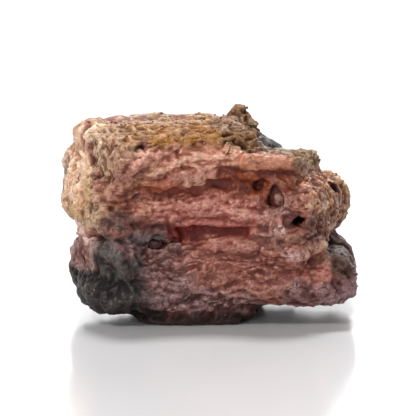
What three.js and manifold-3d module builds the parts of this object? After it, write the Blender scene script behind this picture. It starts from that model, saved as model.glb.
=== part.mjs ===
// One hand-cut cube of air-dried lung, about 35 mm across, standing on its flat underside.
// Millimetres, +Z up, origin at the middle of the underside. The cut face with the layers looks towards -Y.
//
// The cube is modelled the way the tissue dried: a few slabs that shrank by different amounts are blended into one
// body, creases run round it where the layers shrank together, the skin is crumpled, and the airways that the knife
// cut across open in its sides.

import * as THREE from 'three';
import { ImprovedNoise } from 'three/addons/math/ImprovedNoise.js';
import { mergeVertices } from 'three/addons/utils/BufferGeometryUtils.js';
import Module from 'manifold-3d';

const wasm = await Module();
wasm.setup();

// Driving dimensions of the whole cube

const WIDTH = 34.5;
const DEPTH = 25;
const HEIGHT = 23.5;
const CORE = new THREE.Vector3(-0.5, 0, 11.5); // every point of the slabs' outside can be seen from here
const FACET = 1.0; // length of a facet's side before the skin is crumpled
const BLEND = 1.4; // how far two slabs flow into each other
const REACH = 0.6; // how far to either side the slabs' slope is read

// The slabs that the tissue dried into. turn is about +Z, pitch about +X and lean about +Y, in degrees, and round is
// the radius of a slab's edges.

const SLABS = [
  { name: 'top layer', centre: [-4.9, 0.1, 18.9], half: [8.9, 11.2, 3.3], round: 1.3, turn: 14, pitch: -5, lean: 0 },
  { name: 'left bulk', centre: [-6.2, 0.6, 13.7], half: [9.0, 10.9, 4.5], round: 2.2, turn: 14, pitch: -3, lean: 0 },
  { name: 'ledge', centre: [4.6, -2.6, 18.3], half: [8.2, 8.8, 1.6], round: 0.9, turn: -13, pitch: -9, lean: 4 },
  { name: 'middle slab', centre: [2.1, 0.4, 12.0], half: [12.9, 10.6, 5.2], round: 1.8, turn: -13, pitch: -8, lean: 6 },
  { name: 'lower slab', centre: [4.9, -1.2, 5.3], half: [12.7, 10.2, 2.8], round: 2.5, turn: 1, pitch: 0, lean: 0 },
  { name: 'charred lump', centre: [-9.0, -3.8, 5.8], half: [6.1, 7.9, 4.9], round: 4.0, turn: 8, pitch: 4, lean: 7 },
  { name: 'back lobe', centre: [4.6, 7.0, 13.5], half: [5.2, 4.4, 4.6], round: 2.2, turn: 20, pitch: 0, lean: 3 },
  { name: 'back foot', centre: [1.4, 5.6, 4.2], half: [4.6, 4.4, 5.2], round: 2.4, turn: -10, pitch: 0, lean: 0 },
  { name: 'foot', centre: [-1.5, -1.2, 3.0], half: [7.0, 9.0, 4.0], round: 2.8, turn: 4, pitch: 0, lean: 0 },
  { name: 'curled tip', centre: [4.5, 2.3, 20.8], half: [1.4, 2.2, 3.2], round: 1.0, turn: 10, pitch: -8, lean: -5 },
];

// Creases between the layers. They run round the cube from one bearing to another, in degrees from the cut face
// towards +X, at a height that changes evenly between its two ends.

const CREASES = [
  { name: 'under the ledge', from: -4, to: 56, height: [17.4, 17.7], width: 1.0, depth: 1.1 },
  { name: 'left of the ledge', from: -44, to: 10, height: [15.9, 16.6], width: 0.9, depth: 1.2 },
  { name: 'red seam', from: -36, to: 28, height: [10.1, 12.1], width: 0.8, depth: 1.6 },
  { name: 'lower seam', from: -10, to: 60, height: [8.1, 8.3], width: 0.9, depth: 0.7 },
  { name: 'waist', from: -150, to: -42, height: [9.9, 9.7], width: 1.3, depth: 1.3 },
  { name: 'right waist', from: 58, to: 150, height: [7.9, 7.7], width: 1.1, depth: 1.6 },
  { name: 'top seam', from: -34, to: 30, height: [21.2, 21.0], width: 0.8, depth: 0.7 },
  { name: 'back seam', from: 120, to: 235, height: [15.2, 13.4], width: 1.2, depth: 1.6 },
  { name: 'low back seam', from: 130, to: 210, height: [7.6, 6.6], width: 1.0, depth: 1.2 },
  { name: 'left fold', from: -118, to: -66, height: [18.6, 14.2], width: 0.9, depth: 0.9 },
];
const CREASE_FADE = 16; // degrees over which a crease runs out at its ends
const CREASE_WANDER = 1.0; // how far a crease strays up and down
const WANDER_LENGTH = 5.2;
const WANDER_PLANE = 7.3; // the plane of the noise that the wander is read from
const LEVEL_SKIN = [0.45, 0.8]; // upward share of the skin's way out over which the creases run out on the top

// Crumpling of the dried skin: each octave is [length along the layers, length across them, height].

const CRUMPLE = [
  [8.5, 4.2, 1.1],
  [5.0, 1.9, 0.9],
  [2.2, 1.3, 0.45],
];
const CRUMPLE_MIDDLE = 0.38; // the level of the noise at which the skin lies on the plain slabs
const CRUMPLE_GAIN = 1.6; // carries the noise to about 0 in the hollows and 1 on the crests
const CREST = 0.08; // how blunt the crests between the hollows are
const OCTAVE_SHIFT = 11.7; // keeps the octaves apart in the noise

// Folds that run up and down the left side, where the skin puckered.

const FOLD_SPACING = 3.0;
const FOLD_DEPTH = 0.55;
const FOLDS_LEFT = [11.5, 14.5]; // distance to the left over which the folds grow
const FOLDS_UP = [8, 11]; // height over which they grow
const FOLD_SWAY = 1.4; // how far a fold strays from upright
const SWAY_HEIGHT = 4;
const SWAY_DEPTH = 6;
const SWAY_PLANE = 3.1;

// Airways and vessels that the knife opened. bearing and height say where the mouth is, tall is its height over its
// width, and lip is how far the gristle of its wall stands proud.

const AIRWAYS = [
  { name: 'cut airway', bearing: 37, height: 15.9, radius: 1.2, tall: 1.35, depth: 2.8, lip: 0.25 },
  { name: 'right vessel', bearing: 43, height: 13.1, radius: 0.85, tall: 1, depth: 4.4, lip: 0 },
  { name: 'dark recess', bearing: -27, height: 10.0, radius: 1.1, tall: 0.85, depth: 3.4, lip: 0 },
  { name: 'upper pore', bearing: -31, height: 21.9, radius: 0.5, tall: 1, depth: 2.2, lip: 0 },
  { name: 'corner pore', bearing: -43, height: 18.6, radius: 0.5, tall: 1.2, depth: 2.0, lip: 0 },
  { name: 'right side airway', bearing: 97, height: 13.6, radius: 1.1, tall: 1, depth: 4.5, lip: 0 },
  { name: 'back airway', bearing: 188, height: 11.0, radius: 1.5, tall: 1.1, depth: 5.0, lip: 0.1 },
  { name: 'back vessel', bearing: 152, height: 15.6, radius: 0.75, tall: 1, depth: 3.2, lip: 0 },
  { name: 'left pore', bearing: -88, height: 6.2, radius: 0.6, tall: 1, depth: 2.4, lip: 0 },
];
const GRISTLE = 0.5; // thickness of an airway's wall
const AIRWAY_SIDES = 14;
const FLOOR_SHARE = 0.55; // an airway's radius at its inner end, as a share of its mouth's
const COLLAR_SHOULDER = 0.6; // how high a collar's outer edge is, as a share of its lip
const CLEARANCE = 2.5; // how far a hollow's cutter reaches out of the skin

// Rounds in which the facets are evened out while the relief grows, and the last ones that only settle them

const EVENING_ROUNDS = 36;
const SETTLING_ROUNDS = 4;
const EVENING = 0.5; // share of the way that a vertex moves to the middle of its neighbours in a round
const SETTLING_STEPS = 3; // steps in which a vertex finds the skin

// How a ray finds the slabs from outside, and how near two vertices are to be one

const RAY_START = 30;
const RAY_STEP = 0.2;
const WELD = 1e-4;

const noise = new ImprovedNoise();

/** Rises smoothly from 0 at low to 1 at high. */
function ramp(value, low, high) {
  return THREE.MathUtils.smoothstep(value, low, high);
}

/** Bearing of a point seen from above, in degrees: 0 is the cut face's way, -Y, and 90 is +X. */
function bearingOf(p) {
  return THREE.MathUtils.radToDeg(Math.atan2(p.x - CORE.x, -(p.y - CORE.y)));
}

/** A slab with the rotation that carries a point of the cube into the slab's own axes. */
function placed(slab) {
  const [pitch, lean, turn] = [slab.pitch, slab.lean, slab.turn].map((angle) => THREE.MathUtils.degToRad(angle));
  return {
    ...slab,
    middle: new THREE.Vector3(...slab.centre),
    toSlab: new THREE.Quaternion().setFromEuler(new THREE.Euler(pitch, lean, turn, 'ZXY')).invert(),
  };
}

const placedSlabs = SLABS.map(placed);

/** Signed distance from a point to a slab with rounded edges: negative inside. */
function slabDistance(p, slab) {
  const q = p.clone().sub(slab.middle).applyQuaternion(slab.toSlab);
  const x = Math.abs(q.x) - slab.half[0] + slab.round;
  const y = Math.abs(q.y) - slab.half[1] + slab.round;
  const z = Math.abs(q.z) - slab.half[2] + slab.round;
  const outside = Math.hypot(Math.max(x, 0), Math.max(y, 0), Math.max(z, 0));
  return outside + Math.min(Math.max(x, y, z), 0) - slab.round;
}

/** The smaller of two distances, rounded off where they are nearly equal. */
function blend(a, b) {
  const h = Math.max(BLEND - Math.abs(a - b), 0) / BLEND;
  return Math.min(a, b) - (h * h * BLEND) / 4;
}

/** Signed distance, near enough, from a point to the slabs before they crumpled. */
function slabsDistance(p) {
  return placedSlabs.reduce((distance, slab) => blend(distance, slabDistance(p, slab)), Infinity);
}

/** The way out of the slabs at a point near their outside, evened out over their rounded edges. */
function slabsNormal(p) {
  const slope = (x, y, z) => {
    const ahead = slabsDistance(new THREE.Vector3(p.x + x, p.y + y, p.z + z));
    const behind = slabsDistance(new THREE.Vector3(p.x - x, p.y - y, p.z - z));
    return ahead - behind;
  };
  return new THREE.Vector3(slope(REACH, 0, 0), slope(0, REACH, 0), slope(0, 0, REACH)).normalize();
}

/** How deep the creases cut at a point. */
function creaseDepth(p) {
  const bearing = bearingOf(p);
  const wander = CREASE_WANDER * noise.noise(p.x / WANDER_LENGTH, p.y / WANDER_LENGTH, WANDER_PLANE);
  let deepest = 0;
  for (const crease of CREASES) {
    const b = crease.to > 180 && bearing < 0 ? bearing + 360 : bearing;
    const share = THREE.MathUtils.clamp((b - crease.from) / (crease.to - crease.from), 0, 1);
    const height = THREE.MathUtils.lerp(crease.height[0], crease.height[1], share) + wander;
    const ends = ramp(b, crease.from, crease.from + CREASE_FADE) * (1 - ramp(b, crease.to - CREASE_FADE, crease.to));
    const across = Math.exp(-(((p.z - height) / crease.width) ** 2));
    deepest = Math.max(deepest, crease.depth * ends * across);
  }
  return deepest;
}

/** How far the crumpled skin lies below the plain slabs at a point, either way. */
function crumpleDepth(p) {
  let depth = 0;
  CRUMPLE.forEach(([along, across, height], octave) => {
    const shift = OCTAVE_SHIFT * octave;
    const n = noise.noise(p.x / along + shift, p.y / along - shift, p.z / across + shift);
    depth += height * (Math.hypot(n, CREST) * CRUMPLE_GAIN - CRUMPLE_MIDDLE);
  });
  return depth;
}

/** Depth of the upright folds on the left side. */
function foldDepth(p) {
  const onLeft = ramp(-p.x, ...FOLDS_LEFT) * ramp(p.z, ...FOLDS_UP);
  const sway = FOLD_SWAY * noise.noise(p.z / SWAY_HEIGHT, p.y / SWAY_DEPTH, SWAY_PLANE);
  return FOLD_DEPTH * onLeft * Math.cos((2 * Math.PI * (p.y + sway)) / FOLD_SPACING);
}

/** Moves a point along the slabs' way out until it lies on the skin, with a share of the relief. */
function settle(p, reliefShare) {
  const out = slabsNormal(p);
  const sideways = 1 - ramp(out.z, ...LEVEL_SKIN);
  for (let step = 0; step < SETTLING_STEPS; step += 1) {
    const relief = creaseDepth(p) * sideways + crumpleDepth(p) + foldDepth(p);
    p.addScaledVector(out, -(slabsDistance(p) + reliefShare * relief));
  }
}

/** The outermost point of the slabs on the ray from origin along direction. */
function slabsAlong(origin, direction) {
  let outer = RAY_START;
  const at = (t) => slabsDistance(origin.clone().addScaledVector(direction, t));
  while (outer > RAY_STEP && at(outer) > 0) outer -= RAY_STEP;
  return origin.clone().addScaledVector(direction, outer);
}

/** For each vertex of an indexed geometry, the vertices that share an edge with it. */
function neighboursOf(geometry) {
  const neighbours = Array.from({ length: geometry.getAttribute('position').count }, () => new Set());
  const index = geometry.index.array;
  for (let i = 0; i < index.length; i += 3) {
    for (let corner = 0; corner < 3; corner += 1) {
      const from = index[i + corner];
      const to = index[i + ((corner + 1) % 3)];
      neighbours[from].add(to);
      neighbours[to].add(from);
    }
  }
  return neighbours.map((set) => [...set]);
}

/** The middle of some of the points. */
function middleOf(points, indices) {
  const middle = new THREE.Vector3();
  indices.forEach((i) => middle.add(points[i]));
  return middle.divideScalar(indices.length);
}

/** A box cut into even facets and shrunk onto the skin like a wrapping, with the facets evened out on the way. */
function bodyGeometry() {
  const count = (length) => Math.round(length / FACET);
  const box = new THREE.BoxGeometry(WIDTH, DEPTH, HEIGHT, count(WIDTH), count(DEPTH), count(HEIGHT));
  box.deleteAttribute('normal');
  box.deleteAttribute('uv');
  const geometry = mergeVertices(box);
  const position = geometry.getAttribute('position');
  const neighbours = neighboursOf(geometry);
  const points = neighbours.map((_, i) => {
    const direction = new THREE.Vector3().fromBufferAttribute(position, i).normalize();
    return slabsAlong(CORE, direction);
  });
  for (let round = 0; round < EVENING_ROUNDS; round += 1) {
    const reliefShare = Math.min(1, (2 * round) / EVENING_ROUNDS);
    const middles = neighbours.map((around) => middleOf(points, around));
    points.forEach((p, i) => {
      p.lerp(middles[i], EVENING);
      settle(p, reliefShare);
    });
  }
  for (let round = 0; round < SETTLING_ROUNDS; round += 1) points.forEach((p) => settle(p, 1));
  points.forEach((p, i) => position.setXYZ(i, p.x, p.y, p.z));
  return geometry;
}

/** A closed geometry as a solid that can be cut and joined. */
function toSolid(geometry) {
  const bare = geometry.clone();
  bare.deleteAttribute('normal');
  bare.deleteAttribute('uv');
  const merged = mergeVertices(bare, WELD);
  return new wasm.Manifold(
    new wasm.Mesh({
      numProp: 3,
      vertProperties: new Float32Array(merged.getAttribute('position').array),
      triVerts: new Uint32Array(merged.index.array),
    }),
  );
}

/** A solid back as a geometry, moved by an offset. */
function toGeometry(solid, offset) {
  const mesh = solid.getMesh();
  const geometry = new THREE.BufferGeometry();
  geometry.setAttribute('position', new THREE.BufferAttribute(new Float32Array(mesh.vertProperties), 3));
  geometry.setIndex(new THREE.BufferAttribute(new Uint32Array(mesh.triVerts), 1));
  geometry.translate(offset.x, offset.y, offset.z);
  geometry.computeVertexNormals();
  return geometry;
}

/** Where an airway opens, and its way out, square to the skin but level. */
function airwayMouth(airway) {
  const angle = THREE.MathUtils.degToRad(airway.bearing);
  const origin = new THREE.Vector3(CORE.x, CORE.y, airway.height);
  const mouth = slabsAlong(origin, new THREE.Vector3(Math.sin(angle), -Math.cos(angle), 0));
  const outwards = slabsNormal(mouth).setZ(0).normalize();
  settle(mouth, 1);
  return { mouth, outwards };
}

/** A round plug about the airway's axis, from a list of [radius, distance out of the mouth]. */
function airwayPlug(airway, profile) {
  const { mouth, outwards } = airwayMouth(airway);
  const points = profile.map(([radius, out]) => new THREE.Vector2(radius, out));
  const geometry = new THREE.LatheGeometry(points, AIRWAY_SIDES);
  const upright = new THREE.Vector3(0, 0, 1);
  const across = new THREE.Vector3().crossVectors(outwards, upright);
  geometry.scale(1, 1, airway.tall);
  geometry.applyMatrix4(new THREE.Matrix4().makeBasis(across, outwards, upright).setPosition(mouth));
  return toSolid(geometry);
}

/** The hollow of an airway, narrowing inwards to a blunt end. */
function airwayHollow(airway) {
  const inner = airway.radius * FLOOR_SHARE;
  return airwayPlug(airway, [
    [0, -airway.depth],
    [inner, -airway.depth + inner / 2],
    [airway.radius, -airway.depth / 4],
    [airway.radius, CLEARANCE],
    [0, CLEARANCE],
  ]);
}

/** The collar of gristle that stands proud round an airway. */
function airwayCollar(airway) {
  const outer = airway.radius + GRISTLE;
  return airwayPlug(airway, [
    [0, -airway.depth / 2],
    [outer, -airway.depth / 2],
    [outer, airway.lip * COLLAR_SHOULDER],
    [outer - GRISTLE / 2, airway.lip],
    [0, airway.lip],
  ]);
}

/** The whole cube: the skin, its airways, and the flat that it stands on. */
function cubeSolid() {
  let solid = toSolid(bodyGeometry());
  AIRWAYS.filter((airway) => airway.lip > 0).forEach((airway) => {
    solid = solid.add(airwayCollar(airway));
  });
  AIRWAYS.forEach((airway) => {
    solid = solid.subtract(airwayHollow(airway));
  });
  const below = new THREE.BoxGeometry(2 * WIDTH, 2 * DEPTH, HEIGHT).translate(0, 0, -HEIGHT / 2);
  return solid.subtract(toSolid(below));
}

/** The cube as a named mesh, with its origin at the middle of the underside. */
function buildCube() {
  const solid = cubeSolid();
  const box = solid.boundingBox();
  const offset = new THREE.Vector3(-(box.min[0] + box.max[0]) / 2, -(box.min[1] + box.max[1]) / 2, -box.min[2]);
  const tissue = new THREE.MeshStandardMaterial({ color: 0x84503f, roughness: 0.62, metalness: 0 });
  const mesh = new THREE.Mesh(toGeometry(solid, offset), tissue);
  mesh.name = 'lung_cube';
  return mesh;
}

const driedLung = new THREE.Group();
driedLung.add(buildCube());

export default driedLung;
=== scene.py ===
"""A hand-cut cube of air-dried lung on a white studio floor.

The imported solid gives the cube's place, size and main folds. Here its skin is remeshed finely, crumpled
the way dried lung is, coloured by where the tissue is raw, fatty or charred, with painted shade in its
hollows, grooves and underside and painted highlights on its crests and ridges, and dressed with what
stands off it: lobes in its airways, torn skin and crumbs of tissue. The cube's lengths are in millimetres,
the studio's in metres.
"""

import functools
import logging
import math
import random
from abc import ABC, abstractmethod
from collections.abc import Callable, Sequence
from dataclasses import dataclass, field
from enum import Enum
from typing import ClassVar

import bmesh
import bpy
import numpy as np
from mathutils import Matrix, Vector, noise
from mathutils.bvhtree import BVHTree


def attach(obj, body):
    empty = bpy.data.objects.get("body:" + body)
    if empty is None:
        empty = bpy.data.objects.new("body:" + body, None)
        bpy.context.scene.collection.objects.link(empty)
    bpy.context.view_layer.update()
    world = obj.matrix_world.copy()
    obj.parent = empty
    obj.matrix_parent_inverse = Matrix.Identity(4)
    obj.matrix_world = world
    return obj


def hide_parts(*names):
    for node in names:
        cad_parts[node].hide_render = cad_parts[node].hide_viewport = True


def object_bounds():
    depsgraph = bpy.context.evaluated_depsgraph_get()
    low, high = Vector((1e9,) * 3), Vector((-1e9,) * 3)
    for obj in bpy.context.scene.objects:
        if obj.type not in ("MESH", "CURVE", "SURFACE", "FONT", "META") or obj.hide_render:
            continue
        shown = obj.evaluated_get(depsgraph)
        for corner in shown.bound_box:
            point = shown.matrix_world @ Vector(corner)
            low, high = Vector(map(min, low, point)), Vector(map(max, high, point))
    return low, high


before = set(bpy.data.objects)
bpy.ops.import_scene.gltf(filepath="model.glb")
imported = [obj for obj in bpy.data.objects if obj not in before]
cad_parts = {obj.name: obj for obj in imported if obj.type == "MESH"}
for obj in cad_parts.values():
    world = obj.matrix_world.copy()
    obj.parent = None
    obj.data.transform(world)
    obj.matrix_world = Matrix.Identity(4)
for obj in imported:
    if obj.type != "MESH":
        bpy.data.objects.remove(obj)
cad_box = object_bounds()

log = logging.getLogger("dried_lung")

MM = 0.001
NODE = "lung_cube"
BODY = "root"
# The three colours that each vertex carries: its tissue's own (level), a darker one for the painted shade in
# its hollows (deep) and a lighter one for the painted highlight on its crests (crest). Deep and crest also
# colour the tissue's dark and pale flecks.
PAINTS = ("level", "deep", "crest")
# Marks that each vertex carries: how far it stands on a crest, broadly (cavity) and finely (grit), which
# sets its painted shade and highlight, and how flecked (speck) and how glossy (gloss) it is.
MARKS = ("cavity", "grit", "speck", "gloss")
UP = Vector((0.0, 0.0, 1.0))
NOISE_SEED = 3
MEAN_RIDGE = 0.45
MEAN_BILLOW = 0.4
Colour = tuple[float, float, float]
Place = tuple[float, float, float]
Limits = tuple[float, float]


def smooth_ramp(value: float, low: float, high: float) -> float:
    """A share that rises smoothly from 0 where the value is low to 1 where it is high."""
    share = min(max((value - low) / (high - low), 0.0), 1.0)
    return share * share * (3.0 - 2.0 * share)


def stretched(point: Vector, along: float, deep: float, across: float) -> Vector:
    """A point in noise space, for features of a length along X, Y and Z."""
    return Vector((point.x / along, point.y / deep, point.z / across))


def ridged(point: Vector) -> float:
    """Noise with sharp crests, from about 0 in the hollows to 1 on the crests."""
    return 1.0 - min(1.0, 2.0 * math.hypot(noise.noise(point), 0.05))


def billowed(point: Vector) -> float:
    """Noise of round swellings with sharp creases between them, from 0 in the creases to about 1."""
    return min(1.0, 1.9 * abs(noise.noise(point)))


def off_centre(point: Vector, centre: Place, reach: Place) -> float:
    """The square of how far a point is from a centre, as a share of the reach along each axis."""
    return sum(((p - c) / r) ** 2 for p, c, r in zip(point, centre, reach))


class Tissue(Enum):
    """The kinds of surface that a cube of dried lung shows."""

    FLESH = "flesh"
    SKIN = "skin"
    PITTED = "pitted"
    GRAIN = "grain"
    CHAR = "char"


FLESH, SKIN, PITTED, GRAIN, CHAR = Tissue


@dataclass(frozen=True)
class Shades:
    """One tissue's colours, in linear light: its own, the painted shade of its hollows and the painted
    highlight of its crests.
    """

    level: Colour
    deep: Colour
    crest: Colour

    def over(self, colours: list[Vector], cover: float) -> list[Vector]:
        """Three colours with these laid over them by a share."""
        own = (self.level, self.deep, self.crest)
        return [under.lerp(Vector(colour), cover) for under, colour in zip(colours, own)]


@dataclass(frozen=True)
class Patch:
    """A soft-edged stretch of the surface with colours and a kind of tissue of its own."""

    name: str
    tissue: Tissue
    shades: Shades
    centre: Place
    reach: Place
    facing: Place = (0.0, 0.0, 0.0)
    strength: float = 1.0
    frayed: float = 1.0
    softness: float = 0.18
    turned: ClassVar[Limits] = (0.15, 0.6)

    def weight(self, point: Vector, normal: Vector, fray: float) -> float:
        """How much of the patch covers a point.

        Args:
            point: Where on the cube, in millimetres.
            normal: The surface's way out there.
            fray: How far the patch's edge strays here, as a share of its reach.

        Returns:
            A share from 0 to the patch's strength.
        """
        away = math.sqrt(off_centre(point, self.centre, self.reach)) + self.frayed * fray
        cover = 1.0 - smooth_ramp(away, 1.0 - 1.4 * self.softness, 1.0 + 0.6 * self.softness)
        if cover <= 0.0:
            return 0.0
        way = Vector(self.facing)
        if way.length > 0.0:
            cover *= smooth_ramp(normal.dot(way.normalized()), *self.turned)
        return self.strength * cover


@dataclass(frozen=True)
class Palette:
    """The shades of every tissue on the cube."""

    flesh: Shades = Shades((0.230, 0.069, 0.048), (0.078, 0.011, 0.005), (0.44, 0.190, 0.140))
    pink: Shades = Shades((0.65, 0.325, 0.212), (0.25, 0.061, 0.029), (0.89, 0.61, 0.45))
    rose: Shades = Shades((0.35, 0.105, 0.080), (0.13, 0.017, 0.010), (0.52, 0.225, 0.18))
    mauve: Shades = Shades((0.135, 0.064, 0.065), (0.040, 0.014, 0.014), (0.38, 0.24, 0.235))
    ledge_shade: Shades = Shades((0.20, 0.034, 0.007), (0.095, 0.009, 0.002), (0.29, 0.070, 0.019))
    brown_groove: Shades = Shades((0.37, 0.100, 0.048), (0.18, 0.030, 0.011), (0.54, 0.21, 0.125))
    pitted_tan: Shades = Shades((0.222, 0.111, 0.057), (0.070, 0.025, 0.010), (0.62, 0.42, 0.27))
    pitted_brown: Shades = Shades((0.20, 0.072, 0.038), (0.060, 0.016, 0.008), (0.42, 0.20, 0.135))
    grain_tan: Shades = Shades((0.32, 0.116, 0.046), (0.12, 0.025, 0.009), (0.68, 0.37, 0.19))
    gold: Shades = Shades((0.245, 0.096, 0.019), (0.100, 0.029, 0.004), (0.46, 0.235, 0.068))
    cream: Shades = Shades((0.66, 0.50, 0.33), (0.28, 0.16, 0.09), (0.86, 0.72, 0.54))
    peach: Shades = Shades((0.69, 0.43, 0.285), (0.27, 0.13, 0.065), (0.88, 0.68, 0.51))
    # Gold-brown with a painted shade, for a fold on the left side.
    gold_brown_with_shade: Shades = Shades((0.30, 0.17, 0.058), (0.090, 0.042, 0.014), (0.56, 0.38, 0.18))
    top_gold: Shades = Shades((0.240, 0.108, 0.033), (0.085, 0.029, 0.007), (0.47, 0.27, 0.11))
    bronze: Shades = Shades((0.31, 0.180, 0.085), (0.090, 0.042, 0.018), (0.58, 0.40, 0.23))
    charcoal: Shades = Shades((0.012, 0.008, 0.008), (0.003, 0.002, 0.002), (0.064, 0.054, 0.050))
    grey_green: Shades = Shades((0.040, 0.036, 0.031), (0.009, 0.008, 0.006), (0.11, 0.105, 0.09))
    soot: Shades = Shades((0.014, 0.008, 0.006), (0.004, 0.002, 0.002), (0.050, 0.032, 0.026))
    scorched: Shades = Shades((0.024, 0.012, 0.009), (0.006, 0.003, 0.003), (0.095, 0.060, 0.046))
    pale_waist: Shades = Shades((0.56, 0.31, 0.270), (0.17, 0.055, 0.048), (0.82, 0.62, 0.56))
    dim_waist: Shades = Shades((0.22, 0.100, 0.088), (0.060, 0.020, 0.018), (0.44, 0.28, 0.25))
    plum: Shades = Shades((0.100, 0.082, 0.085), (0.026, 0.016, 0.017), (0.29, 0.24, 0.24))
    maroon: Shades = Shades((0.080, 0.028, 0.025), (0.022, 0.006, 0.005), (0.20, 0.09, 0.085))
    violet: Shades = Shades((0.200, 0.085, 0.095), (0.055, 0.020, 0.024), (0.42, 0.25, 0.26))
    dim_mauve: Shades = Shades((0.20, 0.112, 0.112), (0.060, 0.028, 0.028), (0.42, 0.30, 0.30))
    tail_brown: Shades = Shades((0.036, 0.016, 0.009), (0.010, 0.004, 0.002), (0.11, 0.060, 0.040))
    rim: Shades = Shades((0.34, 0.118, 0.062), (0.15, 0.034, 0.013), (0.56, 0.26, 0.155))
    surround: Shades = Shades((0.25, 0.112, 0.092), (0.09, 0.028, 0.022), (0.46, 0.27, 0.24))
    vessel_brown: Shades = Shades((0.075, 0.026, 0.018), (0.022, 0.006, 0.004), (0.18, 0.08, 0.06))
    pale_edge_grey: Shades = Shades((0.38, 0.29, 0.23), (0.14, 0.09, 0.07), (0.66, 0.55, 0.47))
    tip_brown: Shades = Shades((0.15, 0.070, 0.030), (0.045, 0.018, 0.008), (0.34, 0.20, 0.105))
    gristle: Shades = Shades((0.42, 0.25, 0.19), (0.17, 0.07, 0.05), (0.62, 0.44, 0.36))
    glow: Shades = Shades((0.78, 0.43, 0.24), (0.32, 0.12, 0.05), (0.90, 0.62, 0.42))
    lilac: Shades = Shades((0.50, 0.29, 0.26), (0.17, 0.06, 0.05), (0.74, 0.54, 0.50))
    olive: Shades = Shades((0.165, 0.112, 0.064), (0.040, 0.024, 0.013), (0.36, 0.27, 0.18))
    # Painted shade of the underside by the floor.
    underside: Shades = Shades((0.014, 0.007, 0.006), (0.005, 0.002, 0.002), (0.055, 0.026, 0.022))
    bump: Shades = Shades((0.17, 0.105, 0.052), (0.050, 0.026, 0.011), (0.35, 0.23, 0.13))
    top_brown: Shades = Shades((0.17, 0.080, 0.034), (0.045, 0.018, 0.008), (0.40, 0.24, 0.13))
    low_shade: Shades = Shades((0.155, 0.040, 0.026), (0.055, 0.008, 0.004), (0.31, 0.12, 0.09))
    # Painted shade inside the opened airways, in dark maroon.
    bore: Shades = Shades((0.070, 0.016, 0.013), (0.018, 0.004, 0.003), (0.20, 0.07, 0.06))


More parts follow.
